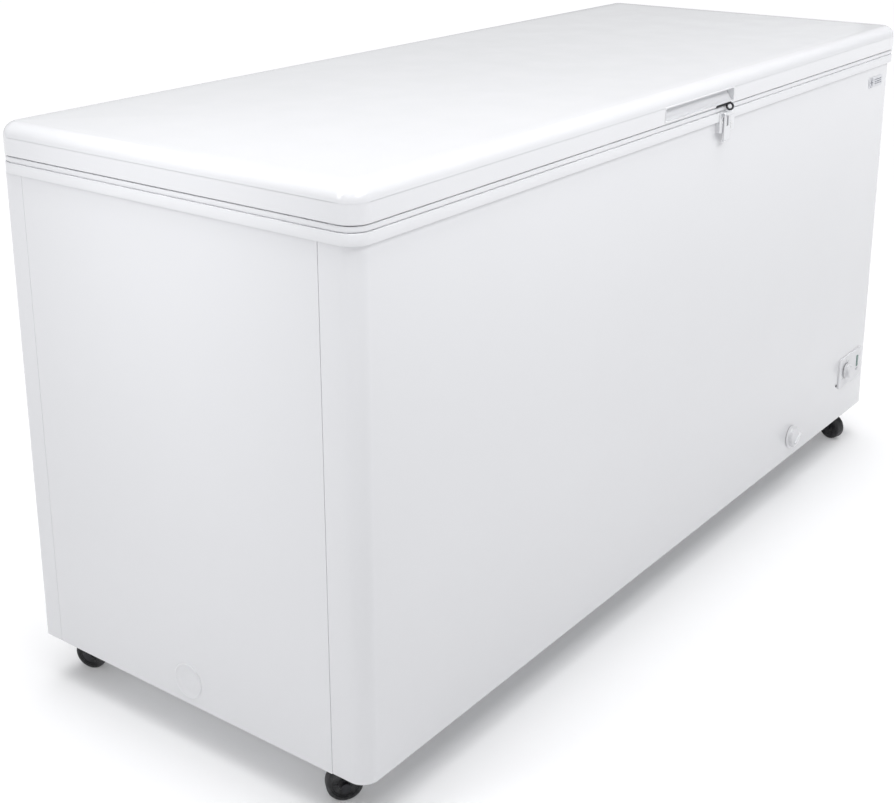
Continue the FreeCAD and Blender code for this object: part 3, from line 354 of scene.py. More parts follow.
def slab(form, size, centre, turn=None, radius=0.0, steps=2):
    """A block with rounded edges."""
    made = bmesh.ops.create_cube(form, size=1.0)["verts"]
    spin = (turn or Matrix.Identity(3)).to_4x4()
    place = Matrix.Translation(Vector(centre)) @ spin @ Matrix.Diagonal((*size, 1))
    bmesh.ops.transform(form, matrix=place, verts=made)
    if radius:
        edges = list({edge for vert in made for edge in vert.link_edges})
        bmesh.ops.bevel(form, geom=edges, offset=radius, segments=steps, profile=0.5, affect="EDGES")


# ---- Geometry Nodes tools ----

def add_node(tree, kind, **sockets):
    node = tree.nodes.new(kind)
    for name, amount in sockets.items():
        if isinstance(amount, bpy.types.NodeSocket):
            tree.links.new(amount, node.inputs[name.replace("_", " ")])
        else:
            node.inputs[name.replace("_", " ")].default_value = amount
    return node


def new_tree(name, inputs):
    """A node group with a geometry input, named inputs and a geometry output."""
    tree = bpy.data.node_groups.new(name, "GeometryNodeTree")
    tree.interface.new_socket("Geometry", in_out="INPUT", socket_type="NodeSocketGeometry")
    for label, kind in inputs:
        tree.interface.new_socket(label, in_out="INPUT", socket_type=kind)
    tree.interface.new_socket("Geometry", in_out="OUTPUT", socket_type="NodeSocketGeometry")
    return tree, tree.nodes.new("NodeGroupInput"), tree.nodes.new("NodeGroupOutput")


def end_tree(tree, geometry, given, sink):
    solid = add_node(tree, "GeometryNodeRealizeInstances", Geometry=geometry).outputs["Geometry"]
    painted = add_node(tree, "GeometryNodeSetMaterial", Geometry=solid, Material=given.outputs["Material"])
    tree.links.new(painted.outputs["Geometry"], sink.inputs["Geometry"])
    return tree


def wire_tree():
    """Tubes along every edge path, repeated in equal steps."""
    tree, given, sink = new_tree("wires", (("Wire radius", "NodeSocketFloat"), ("Sides", "NodeSocketInt"),
                                           ("Count", "NodeSocketInt"), ("Step", "NodeSocketVector"),
                                           ("Material", "NodeSocketMaterial")))
    path = add_node(tree, "GeometryNodeMeshToCurve", Mesh=given.outputs["Geometry"]).outputs["Curve"]
    section = add_node(tree, "GeometryNodeCurvePrimitiveCircle", Resolution=given.outputs["Sides"],
                       Radius=given.outputs["Wire radius"]).outputs["Curve"]
    tube = add_node(tree, "GeometryNodeCurveToMesh", Curve=path, Profile_Curve=section)
    tube.inputs["Fill Caps"].default_value = True
    spots = add_node(tree, "GeometryNodeMeshLine", Count=given.outputs["Count"], Offset=given.outputs["Step"])
    copies = add_node(tree, "GeometryNodeInstanceOnPoints", Points=spots.outputs["Mesh"],
                      Instance=tube.outputs["Mesh"]).outputs["Instances"]
    return end_tree(tree, copies, given, sink)


def scatter_tree():
    """Copies of one small part on every point, each turned to its point's facing and spin."""
    tree, given, sink = new_tree("fasteners", (("Part", "NodeSocketObject"), ("Size", "NodeSocketFloat"),
                                               ("Material", "NodeSocketMaterial")))
    part = add_node(tree, "GeometryNodeObjectInfo", Object=given.outputs["Part"]).outputs["Geometry"]
    fields = {}
    for label, kind in (("facing", "FLOAT_VECTOR"), ("spin", "FLOAT")):
        read = tree.nodes.new("GeometryNodeInputNamedAttribute")
        read.data_type = kind
        read.inputs["Name"].default_value = label
        fields[label] = read.outputs["Attribute"]
    aim = tree.nodes.new("FunctionNodeAlignRotationToVector")
    aim.axis = "Z"
    tree.links.new(fields["facing"], aim.inputs["Vector"])
    spin = tree.nodes.new("FunctionNodeAxisAngleToRotation")
    spin.inputs["Axis"].default_value = (0, 0, 1)
    tree.links.new(fields["spin"], spin.inputs["Angle"])
    both = tree.nodes.new("FunctionNodeRotateRotation")
    both.rotation_space = "LOCAL"
    tree.links.new(aim.outputs["Rotation"], both.inputs["Rotation"])
    tree.links.new(spin.outputs["Rotation"], both.inputs["Rotate By"])
    copies = add_node(tree, "GeometryNodeInstanceOnPoints", Points=given.outputs["Geometry"], Instance=part,
                      Rotation=both.outputs["Rotation"], Scale=given.outputs["Size"]).outputs["Instances"]
    return end_tree(tree, copies, given, sink)


WIRES, FASTENERS = wire_tree(), scatter_tree()


def grown(mesh, tree, **amounts):
    """Runs a tree on a mesh and returns the result as a plain mesh."""
    seed = bpy.data.objects.new("seed", mesh)
    bpy.context.scene.collection.objects.link(seed)
    modifier = seed.modifiers.new("nodes", "NODES")
    modifier.node_group = tree
    for item in tree.interface.items_tree:
        label = item.name.replace(" ", "_")
        if item.in_out == "INPUT" and label in amounts:
            modifier[item.identifier] = amounts[label]
    ready = seed.evaluated_get(bpy.context.evaluated_depsgraph_get())
    result = bpy.data.meshes.new_from_object(ready)
    bpy.data.objects.remove(seed)
    return result


def wires(paths, finish, radius, sides=8, count=1, step=(0, 0, 0), loops=False):
    """Round wire along each list of points, repeated in steps."""
    mesh = bpy.data.meshes.new("paths")
    points = [point for path in paths for point in path]
    edges, start = [], 0
    for path in paths:
        edges += [(start + i, start + i + 1) for i in range(len(path) - 1)]
        if loops:
            edges.append((start + len(path) - 1, start))
        start += len(path)
    mesh.from_pydata([tuple(point) for point in points], edges, [])
    made = grown(mesh, WIRES, Wire_radius=radius, Sides=sides, Count=count, Step=step, Material=finish)
    made.shade_smooth()
    made.set_sharp_from_angle(angle=math.radians(50))
    return made


def scattered(part, spots, finish, size=1.0):
    """One part on each spot, given as a place, a facing and a spin in degrees."""
    mesh = bpy.data.meshes.new("spots")
    mesh.from_pydata([tuple(spot[0]) for spot in spots], [], [])
    for label, kind in (("facing", "FLOAT_VECTOR"), ("spin", "FLOAT")):
        mesh.attributes.new(label, kind, "POINT")
    facing, spin = mesh.attributes["facing"], mesh.attributes["spin"]
    for index, (_, toward, angle) in enumerate(spots):
        facing.data[index].vector = toward
        spin.data[index].value = math.radians(angle)
    master = bpy.data.objects.new("master", part)
    bpy.context.scene.collection.objects.link(master)
    made = grown(mesh, FASTENERS, Part=master, Size=size, Material=finish)
    bpy.data.objects.remove(master)
    made.set_sharp_from_angle(angle=math.radians(35))
    return made


def joined(name, *meshes):
    """Several meshes as one, with each one's material kept."""
    form = bmesh.new()
    finishes = []
    for mesh in meshes:
        start = len(form.faces)
        form.from_mesh(mesh)
        form.faces.ensure_lookup_table()
        for material in mesh.materials:
            if material not in finishes:
                finishes.append(material)
        for face in form.faces[start:]:
            if mesh.materials:
                face.material_index = finishes.index(mesh.materials[face.material_index])
    made = to_mesh(form, name, 35.0, False)
    for material in finishes:
        made.materials.append(material)
    return made


def keep_materials(thing, mesh_materials):
    thing.data.materials.clear()
    for material in mesh_materials:
        thing.data.materials.append(material)
    return thing


def screw_head(radius=1.0, height=0.5):
    """A domed head, one unit in radius, with no hollow: its recess is a separate cross of painted shade."""
    form = bmesh.new()
    lathe(form, [(0, 0), (radius, 0), (radius, height * 0.4), (radius * 0.9, height * 0.72),
                 (radius * 0.62, height * 0.93), (radius * 0.3, height), (0, height)], (0, 0, 0), (0, 0, 1), 20)
    return to_mesh(form, "screw_head")


def painted_recess_cross(radius=0.5, height=0.5):
    """The cross of painted shade that sits just proud of a head, in place of a recessed hollow."""
    form = bmesh.new()
    for size in ((radius * 2, radius * 0.42, 0.06), (radius * 0.42, radius * 2, 0.061)):
        slab(form, size, (0, 0, height), radius=0.02, steps=1)
    return to_mesh(form, "cross")


HEAD, CROSS = screw_head(), painted_recess_cross()


def screws(name, node, spots, radius, finish):
    """Screws with a painted-shade cross for the recess, in place of a CAD node's plain ones."""
    heads = scattered(HEAD, spots, finish, radius)
    # The marks are the painted shade of each cross recess, not a real hollow
    marks = scattered(CROSS, spots, RECESS_SHADE_FINISH, radius)
    both = joined(name, heads, marks)
    finishes = list(both.materials)
    return keep_materials(piece(name, both, node), finishes)


# ---- Lid ----

LID_LOW, LID_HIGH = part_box("lid_skin")
GRIP_LOW, GRIP_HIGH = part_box("handle_scoop")
HALF_X, HALF_Y = LID_HIGH.x, LID_HIGH.y


def lid_shell():
    """A folded skin: turned-in hem, upright skirt, soft shoulder and a barely crowned top."""
    crown, shoulder, corner = 0.8 * MM, 20 * MM, 28 * MM
    base, top = LID_LOW.z, LID_HIGH.z - crown
    stops = (GRIP_LOW.x, 0.0, GRIP_HIGH.x)
    profile = [(9 * MM, base + 1.6 * MM), (8 * MM, base + 0.3 * MM), (1.2 * MM, base),
               (0.35 * MM, base + 0.3 * MM), (0, base + 1.2 * MM), (0, GRIP_LOW.z), (0, GRIP_HIGH.z - 1 * MM)]
    window = len(profile) - 2
    for a in range(0, 91, 9):
        turn = math.radians(a)
        profile.append((shoulder * (1 - math.cos(turn)), top - shoulder * (1 - math.sin(turn))))
    for inset in (40, 80, 130, 190, 250, 305):
        profile.append((inset * MM, LID_HIGH.z - crown * (1 - (inset - 20) / 285) ** 2))
    rings = []
    for inset, z in profile:
        radius = max(corner - inset, 3 * MM) if inset < 0.1 else 2 * MM
        rings.append(ring(HALF_X - inset, HALF_Y - inset, radius, z, 10, stops))
    form = bmesh.new()
    loft(form, rings, cap=(False, True), skip=lambda level, i: level == window and i in (0, 1))
    return piece("lid_shell", to_mesh(form, "lid_shell", 50), "lid_skin")


def handle_pocket():
    """The recessed grip: a thin frame, a flat roof and a back that slopes inwards as it rises."""
    x0, x1, z0, z1 = GRIP_LOW.x, GRIP_HIGH.x, GRIP_LOW.z, GRIP_HIGH.z
    face, back = GRIP_LOW.y, GRIP_HIGH.y
    form = bmesh.new()

    def window(grow, y, radius):
        xs, zs = (x1 - x0) / 2 + grow, (z1 - z0) / 2 + grow
        points = ring(xs, zs, radius, 0, 5)
        return [Vector((point.x, y, point.y + (z0 + z1) / 2)) for point in points]

    frame_rings = [window(-0.1 * MM, face + 3 * MM, 2 * MM), window(-0.1 * MM, face - 0.2 * MM, 2 * MM),
                   window(-0.4 * MM, face - 0.7 * MM, 2 * MM), window(-1.6 * MM, face - 0.9 * MM, 2 * MM),
                   window(-2.3 * MM, face - 0.5 * MM, 2.2 * MM), window(-2.6 * MM, face + 0.6 * MM, 2.2 * MM)]
    loft(form, frame_rings)
    sides = (x0 + 2.5 * MM, x1 - 2.5 * MM)
    floor, roof, deep = z0 + 2.6 * MM, z1 - 2.5 * MM, face + 14 * MM
    slope = [(face + 0.4 * MM, floor), (face + 2.4 * MM, floor), (face + 4.4 * MM, floor + 1 * MM)]
    slope += [(face + (5.8 + 1.7 * i) * MM, floor + (2.6 + 2.9 * i) * MM) for i in range(5)]
    slope += [(deep - 0.6 * MM, roof - 2.6 * MM), (deep - 0.2 * MM, roof - 0.7 * MM), (deep - 1.4 * MM, roof),
              (face + 0.4 * MM, roof)]
    loft(form, [[Vector((x, y, z)) for y, z in slope] for x in sides], cap=(True, True), closed=False)
    mesh = to_mesh(form, "handle", 40, True)
    return piece("handle_pocket", mesh, "handle_scoop")


def lid_tub():
    """The lid's inner sheet: a flat flange, a rounded dam and a shallow dished field with ribs."""
    bottom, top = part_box("lid_liner")
    half_x, half_y = high("lid_liner").x, high("lid_liner").y
    dam_x, dam_y = half_x - 80 * MM, half_y - 80 * MM
    profile = [(0, (top.z - bottom.z) / MM, 27), (0, 19.8, 27), (72, 19.8, 12), (78, 18.6, 12), (80, 15, 14),
               (80.5, 5, 14), (82, 1.4, 14), (86, 0, 14), (104, 0, 18), (106, 0.2, 18), (108, 0.8, 18),
               (110, 1, 18), (300, 1, 2)]
    rings = [ring(half_x - inset * MM, half_y - inset * MM, radius * MM, bottom.z + rise * MM, 6)
             for inset, rise, radius in profile]
    form = bmesh.new()
    loft(form, rings, cap=(False, True))
    rib = (12 * MM, dam_y * 1.5, 1.2 * MM)
    for place in range(-3, 4):
        slab(form, rib, (place * dam_x * 0.24, 0, bottom.z + 0.7 * MM), radius=0.5 * MM)
    return piece("lid_tub", to_mesh(form, "lid_tub", 40, False), "lid_liner")


def gasket():
    """A soft seal with a ribbed bellows and a magnet bulb."""
    base, top = low("lid_gasket").z, high("lid_gasket").z
    half_x, half_y = high("lid_gasket").x, high("lid_gasket").y
    rise = top - base
    section = [(3, 1.0), (1.2, 0.98), (0.4, 0.86), (3.2, 0.7), (3.4, 0.6), (0.6, 0.47), (0, 0.3), (0.2, 0.1),
               (1.6, 0), (14.4, 0), (15.8, 0.1), (16, 0.3), (15.4, 0.47), (12.6, 0.6), (12.8, 0.7),
               (15.6, 0.86), (14.8, 0.98), (13, 1.0)]
    rings = [ring(half_x - inset * MM, half_y - inset * MM, (14 - inset * 0.6) * MM, base + rise * share, 6)
             for inset, share in section]
    form = bmesh.new()
    loft(form, rings, loop=True)
    return piece("gasket_bellows", to_mesh(form, "gasket", 45), "lid_gasket")


lid_shell()
handle_pocket()
lid_tub()
gasket()


# ---- Breaker frame and outer sheets ----

def breaker_frame():
    """Two raised bands with a shadow groove, the flat ledge for the seal, and the lip of the mouth."""
    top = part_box("top_trim")[1]
    z, half_x, half_y = low("top_trim").z, top.x, top.y
    deck = z + 12 * MM
    profile = [(4, 0, 26), (0.9, 0, 28), (0.2, 0.25, 28), (0, 0.9, 28), (0, 14.1, 28), (0.3, 14.8, 28),
               (1, 15, 27),
               (3, 15.05, 26), (3, 16.1, 26), (1.8, 16.2, 27), (1.2, 16.5, 27), (1, 17.2, 27), (1, 22.2, 27),
               (1.25, 22.8, 27), (1.9, 23, 27), (10, 23, 12), (10.8, 22.8, 11), (11, 22.2, 11), (11, 17.5, 11),
               (11.6, 17, 11), (68.6, 17, 7), (69.7, 16.6, 6), (70, 15.6, 6), (70, -12, 6), (68.2, -12, 8),
               (68.2, 0, 8)]
    rings = [ring(half_x - inset * MM, half_y - inset * MM, radius * MM, deck + rise * MM, 10)
             for inset, rise, radius in profile]
    form = bmesh.new()
    loft(form, rings, loop=True)
    return piece("breaker_frame", to_mesh(form, "frame", 40), "top_trim")


def front_wrap():
    """The front sheet: its ends wrap both corners, and its edges fold in at the seams and at the bottom."""
    first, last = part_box("front_panel")
    reach, corner, fold = last.y, 25 * MM, 0.9 * MM
    path = [((first.x + 9 * MM, reach), (0, 1)), ((first.x + fold, reach), (0, 1))]
    path += [((x, y), None) for x, y in arc((first.x + fold, reach - fold), fold, 90, 180, 3)[1:]]
    path += [((x, y), None) for x, y in arc((first.x + corner, first.y + corner), corner, 180, 270, 16)]
    path += [((x * last.x, first.y), (0, -1)) for x in (-0.8, -0.6, -0.4, -0.2, 0.0, 0.2, 0.4, 0.6, 0.8)]
    path += [((x, y), None) for x, y in arc((last.x - corner, first.y + corner), corner, 270, 360, 16)]
    path += [((x, y), None) for x, y in arc((last.x - fold, reach - fold), fold, 0, 90, 3)[:-1]]
    path += [((last.x - fold, reach), (0, 1)), ((last.x - 9 * MM, reach), (0, 1))]
    centres = {True: (first.x + corner, first.y + corner), False: (last.x - corner, first.y + corner)}
    placed = []
    for (x, y), way in path:
        if way is None:
            centre = centres[x < 0] if y < first.y + corner + 1e-6 else (
                (first.x + fold, reach - fold) if x < 0 else (last.x - fold, reach - fold))
            way = Vector((x - centre[0], y - centre[1])).normalized()
        placed.append((Vector((x, y)), Vector(way)))
    profile = [(0, last.z), (0, 0.5 * (first.z + last.z)), (0, first.z + 2 * MM), (0.25 * MM, first.z + 0.9 * MM),
               (0.9 * MM, first.z + 0.2 * MM), (2 * MM, first.z), (12 * MM, first.z)]
    rings = [[Vector((*(spot - way * inset), z)) for spot, way in placed] for inset, z in profile]
    form = bmesh.new()
    loft(form, rings, closed=False)
    mesh = to_mesh(form, "front", 40, False)
    mesh.flip_normals()
    return piece("front_wrap", mesh, "front_panel")


def liner_tank():
    """The stucco tank: a deep part and a step over the machine bay, with rounded corners all over."""
    first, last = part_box("inner_liner")
    step_x, step_z, corner, sheet = 519 * MM, 401 * MM, 12 * MM, 0.8 * MM
    x0, x1, y0, y1 = first.x + MM, last.x - MM, first.y + MM, last.y - MM
    floor, top = first.z + MM, last.z
    side = [(x0, top), (x0, floor), (step_x, floor), (step_x, step_z), (x1, step_z), (x1, top)]
    form = bmesh.new()
    loft(form, [[Vector((x, y, z)) for x, z in side] for y in (y0, y1)], cap=(True, True), closed=False)
    soft = [edge for edge in form.edges if not all(abs(vert.co.z - top) < 1e-6 for vert in edge.verts)]
    bmesh.ops.bevel(form, geom=soft, offset=corner, segments=4, profile=0.5, affect="EDGES")
    bmesh.ops.recalc_face_normals(form, faces=form.faces)
    facing = [face for face in form.faces if face.normal.z > 0.9]
    if not facing or facing[0].calc_center_median().z > top - 0.01:
        bmesh.ops.reverse_faces(form, faces=form.faces)
    thing = piece("liner_tank", to_mesh(form, "liner_tank", 40, False), "inner_liner")
    walls = thing.modifiers.new("sheet", "SOLIDIFY")
    walls.thickness, walls.offset = sheet, -1.0
    return thing


# ---- Basket ----

def wire_basket():
    """Coated wire on two rims, with hooks that hang on the ledge."""
    first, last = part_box("storage_basket")
    rim, wire, hook = 2.4 * MM, 1.3 * MM, 1.7 * MM
    corner, edge, grid = 16 * MM, 1 * MM, 20 * MM
    half_x, half_y = (last.x - first.x) / 2 - rim, 244 * MM - rim
    centre = Vector(((first.x + last.x) / 2, 0, 0))
    base, mouth, ledge = first.z, 780 * MM, 799.2 * MM
    low_z, top_z = base + rim, mouth - rim
    finish = FINISHES["coated_wire"]

    def loop(z, inset):
        return [point + centre for point in ring(half_x - inset, half_y - inset, corner, z, 4)]

    def trough(start, end):
        """A wire that goes down one wall, across the bottom and up the other."""
        return [(*start, top_z), (*start, low_z), (*end, low_z), (*end, top_z)]

    parts = [wires([loop(top_z, 0), loop(low_z, 2 * MM)], finish, rim, 8, loops=True)]
    parts.append(wires([loop(base + (45 + i * 40) * MM, 3 * MM) for i in range(4)], finish, wire, 6, loops=True))
    x, y = centre.x - half_x + 18 * MM, half_y - edge
    parts.append(wires([trough((x, -y), (x, y))], finish, wire, 6, 9, ((half_x - 18 * MM) / 4, 0, 0)))
    x, y = half_x - edge, half_y - grid
    parts.append(wires([trough((centre.x - x, -y), (centre.x + x, -y))], finish, wire, 6, 20, (0, y * 2 / 19, 0)))
    hooks = []
    for side in (-1, 1):
        for at in (-80, 80):
            x, wall, tip = centre.x + at * MM, side * half_y, side * 273.8 * MM
            hooks.append([(x, wall, mouth - 12 * MM), (x, wall, ledge - 4 * MM),
                          (x, wall + side * 1.2 * MM, ledge - 1 * MM), (x, wall + side * 4 * MM, ledge),
                          (x, tip, ledge)])
    parts.append(wires(hooks, finish, hook, 8))
    return piece("wire_basket", joined("basket", *parts), "storage_basket")


# ---- Fasteners ----

def solids(node):
    """The box of each separate solid in a CAD node."""
    form = bmesh.new()
    form.from_mesh(NODES[node].data)
    bmesh.ops.remove_doubles(form, verts=form.verts, dist=1e-6)
    left, boxes = set(form.verts), []
    while left:
        group, queue = set(), [left.pop()]
        while queue:
            vert = queue.pop()
            group.add(vert)
            for edge in vert.link_edges:
                other = edge.other_vert(vert)
                if other in left:
                    left.remove(other)
                    queue.append(other)
        corners = [vert.co for vert in group]
        boxes.append((Vector([min(c[i] for c in corners) for i in range(3)]),
                      Vector([max(c[i] for c in corners) for i in range(3)])))
    form.free()
    return sorted(boxes, key=lambda box: (round(box[0].x, 4), round(box[0].y, 4), round(box[0].z, 4)))


def all_screws():
    """Domed heads with a painted-shade cross for the recess, where the plain screws stand."""
    steel = FINISHES["bright_steel"]
    back, front, down = (0, 1, 0), (0, -1, 0), (0, 0, -1)
    for node, facing, finish in (("hinge_base_screws", back, steel), ("hinge_leaf_screws", back, steel),
                                 ("hasp_screws", front, DULL_STEEL), ("panel_screw", front, DULL_STEEL),
                                 ("caster_screws", down, steel)):
        way = Vector(facing)
        axis = [i for i in range(3) if way[i]][0]
        spots = []
        for first, last in solids(node):
            wide = [last[i] - first[i] for i in range(3) if i != axis]
            radius = max(wide) / 2
            spot = (first + last) / 2
            end = last[axis] if way[axis] > 0 else first[axis]
            spot[axis] = end - way[axis] * radius * 0.5
            spots.append((spot, way, (len(spots) * 37) % 90))
        screws(f"{node}_crossed", node, spots, radius, finish)


# ---- Casters, caps and marks ----

def casters():
    """Each wheel is a ribbed tyre on a paler hub with spokes, on the fork's bolt."""
    for corner in ("front_left", "front_right", "back_left", "back_right"):
        joint = JOINTS[f"wheel_{corner}"]
        centre, way = Vector(joint["pos_m"]), Vector(joint["axis"])
        tyre, hub = bmesh.new(), bmesh.new()
        half = 10
        outline = [(18.4, -half + 1.6), (19.2, -half + 0.3), (21.6, -half), (23.4, -half + 0.6), (24.6, -half + 2)]
        for groove in (-4, 0, 4):
            outline += [(25, groove - 1.6), (25, groove - 0.5), (24.5, groove - 0.3), (24.5, groove + 0.3),
                        (25, groove + 0.5), (25, groove + 1.6)]
        outline += [(24.6, half - 2), (23.4, half - 0.6), (21.6, half), (19.2, half - 0.3), (18.4, half - 1.6)]
        lathe(tyre, [(r * MM, h * MM) for r, h in outline], centre, way, 64)
        core = [(4.06, -half), (8.4, -half), (9, -half + 0.6), (9.4, -half + 2.6), (16.2, -half + 2.2),
                (17.2, -half + 1.2), (18.6, -half + 1.5), (18.6, half - 1.5), (17.2, half - 1.2), (16.2, half - 2.2),
                (9.4, half - 2.6), (9, half - 0.6), (8.4, half), (4.06, half), (4.06, -half)]
        lathe(hub, [(r * MM, h * MM) for r, h in core], centre, way, 48)
        turn = way.to_track_quat("Z", "Y").to_matrix()
        for spoke in range(6):
            spin = turn @ Matrix.Rotation(math.radians(60 * spoke), 3, "Z")
            for face in (-1, 1):
                slab(hub, (0.0076, 0.002, 0.0014), centre + spin @ Vector((0.0128, 0, face * 0.0076)), spin, 0.0004)
        tyre_mesh, hub_mesh = to_mesh(tyre, "tyre", 40), to_mesh(hub, "hub", 40)
        tyre_mesh.materials.append(FINISHES["wheel_rubber"])
        hub_mesh.materials.append(HUB)
        both = joined(f"wheel_{corner}", tyre_mesh, hub_mesh)
        finishes = list(both.materials)
        keep_materials(piece(f"wheel_{corner}", both, f"caster_wheel_{corner}"), finishes)
        softened(f"caster_fork_{corner}", 0.0005, name=f"fork_{corner}")


def drain_parts():
    """A ribbed cap with a turning bar, outside the drain's end."""
    joint = JOINTS["drain_cap_turn"]
    first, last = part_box("drain_cap")
    centre = Vector(((first.x + last.x) / 2, joint["pos_m"][1], (first.z + last.z) / 2))
    form = bmesh.new()
    lathe(form, [(0, 2.6 * MM), (13 * MM, 2.6 * MM), (13 * MM, 0.4 * MM), (21.4 * MM, 0.4 * MM), (22 * MM, 0.9 * MM),
                 (22 * MM, 2.1 * MM), (21.5 * MM, 2.6 * MM), (19.4 * MM, 3.2 * MM), (18.8 * MM, 4 * MM),
                 (17.7 * MM, 10.6 * MM), (16.6 * MM, 11.6 * MM), (13.6 * MM, 13.4 * MM), (8 * MM, 14.6 * MM),
                 (0, 15 * MM)], centre, (0, -1, 0), 72)
    turn = Vector((0, -1, 0)).to_track_quat("Z", "Y").to_matrix()
    for rib in range(24):
        spin = turn @ Matrix.Rotation(math.radians(15 * rib), 3, "Z")
        slab(form, (0.0012, 0.0016, 0.0062), centre + spin @ Vector((0.0182, 0, 0.0072)), spin, 0.0004, 1)
    tilt = Matrix.Rotation(math.radians(-35), 3, "Y")
    slab(form, (0.028, 0.0075, 0.0048), centre + Vector((0, -0.01365, 0)), tilt, 0.0018, 3)
    return piece("drain_cap_ribbed", to_mesh(form, "drain_cap", 40), "drain_cap")


def side_cap():
    """A snap-in cap with a raised rim and a shallow dish."""
    first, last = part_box("foam_port_cap")
    centre = Vector((0, (first.y + last.y) / 2, (first.z + last.z) / 2))
    face = first.x
    form = bmesh.new()
    profile = [(26, -1.2), (25.9, -0.5), (25.4, -0.1), (24.4, 0), (23.2, -0.1), (22.7, -0.5), (22.2, -0.7),
               (14, -0.7), (13.4, -0.6), (12.6, -0.6), (12, -0.75), (0, -0.75)]
    lathe(form, [(r * MM, h * MM) for r, h in profile], Vector((face, centre.y, centre.z)), (-1, 0, 0), 72)
    lathe(form, [(18.8 * MM, -1.2 * MM), (18.8 * MM, -6.2 * MM), (17.2 * MM, -6.2 * MM), (17.2 * MM, -1.2 * MM)],
          Vector((face, centre.y, centre.z)), (-1, 0, 0), 48)
    return piece("side_cap", to_mesh(form, "side_cap", 40), "foam_port_cap")


def seam_strips():
    """The lapped edges that close the seams between the side sheets and their neighbours."""
    shell_low, shell_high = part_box("front_panel")
    middle_z, tall = (shell_low.z + shell_high.z) / 2, shell_high.z - shell_low.z - 0.001
    form = bmesh.new()
    for x in (shell_low.x + 0.94 * MM, shell_high.x - 0.94 * MM):
        for y in (low("left_side_panel").y, high("left_side_panel").y):
            slab(form, (0.00006, 0.006, tall), (x, y, middle_z), radius=0.00001, steps=1)
    return piece("seam_strips", to_mesh(form, "seams", 40), "left_side_panel", stands_for=False)


def badge_marks():
    """The frost mark and three bars, printed dark on the badge's plate."""
    first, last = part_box("badge")
    middle_x, middle_z = (first.x + last.x) / 2, (first.z + last.z) / 2
    form = bmesh.new()
    for turn in (0, 60, 120):
        slab(form, (0.015, 0.00012, 0.0012), (middle_x - 0.022, first.y - 0.00002, middle_z),
             Matrix.Rotation(math.radians(turn), 3, "Y"), 0.00004, 1)
    for level in (-4, 0, 4):
        slab(form, (0.034, 0.00012, 0.0012), (middle_x + 0.0095, first.y + 0.00018, middle_z + level * MM),
             radius=0.00004, steps=1)
    for step in range(30):
        spin = math.radians(step * 12)
        slab(form, (0.0032, 0.00012, 0.0006), (middle_x - 0.022 + 0.0088 * math.cos(spin), first.y + 0.00075,
             middle_z + 0.0088 * math.sin(spin)), Matrix.Rotation(-spin + math.pi / 2, 3, "Y"), 0.00004, 1)
    return piece("badge_marks", to_mesh(form, "badge_marks", 40), "badge", MARKING, stands_for=False)


def dial_marks():
    """Short strokes round the dial, a longer one at each end, and two plain bars by the lamp."""
    joint = JOINTS["knob_turn"]
    face = low("control_panel").y
    x, z = joint["pos_m"][0], joint["pos_m"][2]
    form = bmesh.new()
    for step in range(9):
        turn = math.radians(225 - step * 33.75)
        long = 0.0026 if step % 4 else 0.0042
        reach = 0.0186 + long / 2
        slab(form, (long, 0.0002, 0.0008), (x + reach * math.cos(turn), face, z + reach * math.sin(turn)),
             Matrix.Rotation(-turn, 3, "Y"), 0.00005, 1)
    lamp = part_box("indicator_lamp")
    for drop, wide in ((0.004, 0.014), (0.007, 0.009)):
        slab(form, (wide, 0.0002, 0.0012), ((lamp[0].x + lamp[1].x) / 2, face, lamp[0].z - drop), radius=0.00005,
             steps=1)
    return piece("dial_marks", to_mesh(form, "marks", 40), "control_panel", MARKING, stands_for=False)


breaker_frame()
front_wrap()
liner_tank()
wire_basket()
all_screws()
casters()
drain_parts()
side_cap()
seam_strips()
badge_marks()
dial_marks()
for name in ("right_side_panel", "back_panel", "bottom_panel", "compressor_tray", "base_rails", "hinge_base_left",
             "hinge_base_right", "hinge_leaf_left", "hinge_leaf_right", "hinge_pins", "hasp_base", "hasp_arm",
             "hasp_pin", "control_panel", "indicator_lamp", "thermostat_body", "thermostat_knob", "drain_plug",
             "badge", "cable_gland", "start_relay_cover", "rear_vent_cover", "lid_staple", "caster_plates",
             "compressor_mounts"):
    softened(name, 0.3 * MM)
softened("compressor", 3 * MM, 4)


# ---- Floor, light and camera ----

def soft_light(name, place, aim, size, power, spread):
    """A rectangular light that faces a point, with its beam narrowed to a spread in degrees."""
    lamp = bpy.data.lights.new(name, "AREA")
    lamp.shape, lamp.size, lamp.size_y = "RECTANGLE", *size
    lamp.energy, lamp.color, lamp.spread = power, (0.98, 0.985, 1), math.radians(spread)
    thing = bpy.data.objects.new(name, lamp)
    thing.location = place
    thing.rotation_euler = (Vector(aim) - Vector(place)).to_track_quat("-Z", "Y").to_euler()
    bpy.context.scene.collection.objects.link(thing)


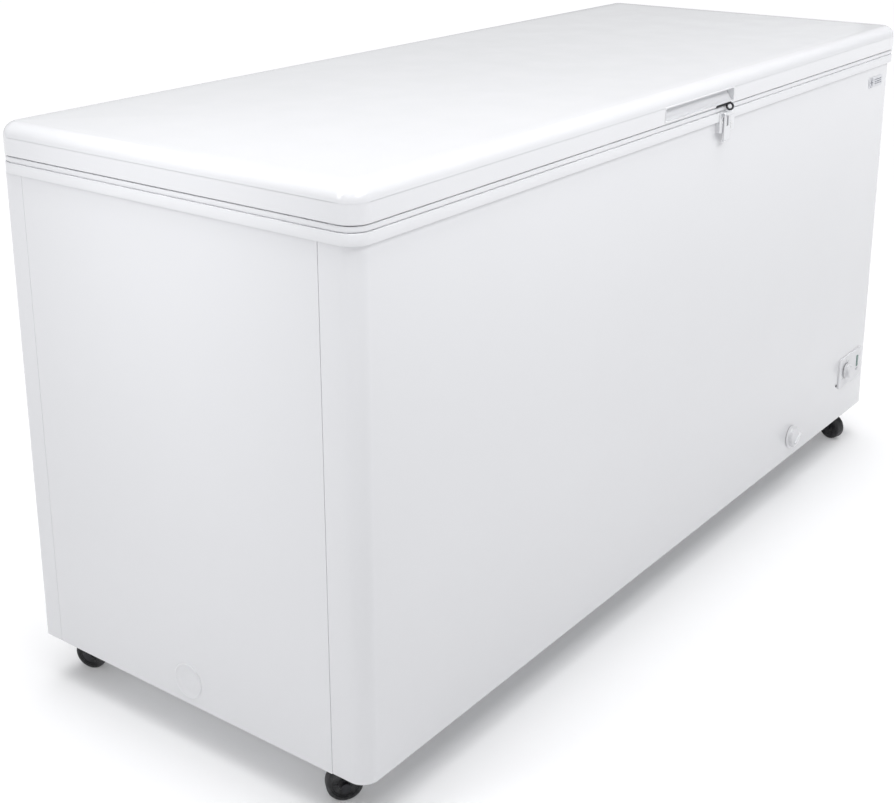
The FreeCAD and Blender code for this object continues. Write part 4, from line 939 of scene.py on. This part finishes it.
def studio():
    """A pale floor that glows a little, an even sky, three soft banks and a broad overhead light."""
    form = bmesh.new()
    reach, steps = 14.0, 8
    bmesh.ops.create_grid(form, x_segments=steps, y_segments=steps, size=reach)
    floor = bpy.data.objects.new("studio_floor", to_mesh(form, "studio_floor"))
    bpy.context.scene.collection.objects.link(floor)
    paper = Finish("studio_paper", (0.8, 0.8, 0.81), 0.8)
    paper.paint(paper.tint(paper.noise(1.2, 3.0), (0.795, 0.795, 0.805), (0.81, 0.81, 0.815)))
    paper.shader.inputs["Emission Color"].default_value = (1, 1, 1, 1)
    paper.shader.inputs["Emission Strength"].default_value = 0.18
    floor.data.materials.append(paper.material)
    world = bpy.data.worlds.new("studio")
    world.use_nodes = True
    sky = world.node_tree.nodes["Background"]
    sky.inputs["Color"].default_value = (0.975, 0.98, 1.0, 1)
    sky.inputs["Strength"].default_value = 0.36
    bpy.context.scene.world = world
    soft_light("front_bank", (0.1, -1.0, 1.45), (0.1, -0.3, 0.8), (2.4, 0.3), 2.6, 76)
    soft_light("left_bank", (-1.55, 0.1, 1.42), (-0.8, 0, 0.85), (0.3, 0.9), 1.05, 70)
    soft_light("back_bank", (2.3, 2.0, 1.7), (0, 0, 0.85), (3.4, 1.2), 1.6, 120)
    sun = bpy.data.lights.new("overhead", "SUN")
    sun.energy, sun.angle = 2.25, math.radians(50)
    above = bpy.data.objects.new("overhead", sun)
    bpy.context.scene.collection.objects.link(above)
    scene = bpy.context.scene
    scene.view_settings.view_transform = "Standard"
    scene.view_settings.look = "None"


def camera():
    """The eye's place and aim, with yaw from +Y towards +X and pitch below level."""
    yaw, pitch, roll = 0.9251, 0.2956, -0.0023
    ahead = Vector((math.sin(yaw) * math.cos(pitch), math.cos(yaw) * math.cos(pitch), -math.sin(pitch)))
    side = Vector((math.cos(yaw), -math.sin(yaw), 0))
    up = side.cross(ahead)
    right = math.cos(roll) * side + math.sin(roll) * up
    above = -math.sin(roll) * side + math.cos(roll) * up
    data = bpy.data.cameras.new("camera")
    data.sensor_width, data.lens, data.shift_y = 36.0, 59.31, -0.156
    data.clip_start, data.clip_end = 0.05, 60
    eye = bpy.data.objects.new("camera", data)
    eye.matrix_world = Matrix.Translation((-2.00256, -1.34165, 1.24280)) @ Matrix(
        (right, above, -ahead)).transposed().to_4x4()
    bpy.context.scene.collection.objects.link(eye)
    bpy.context.scene.camera = eye


studio()
camera()
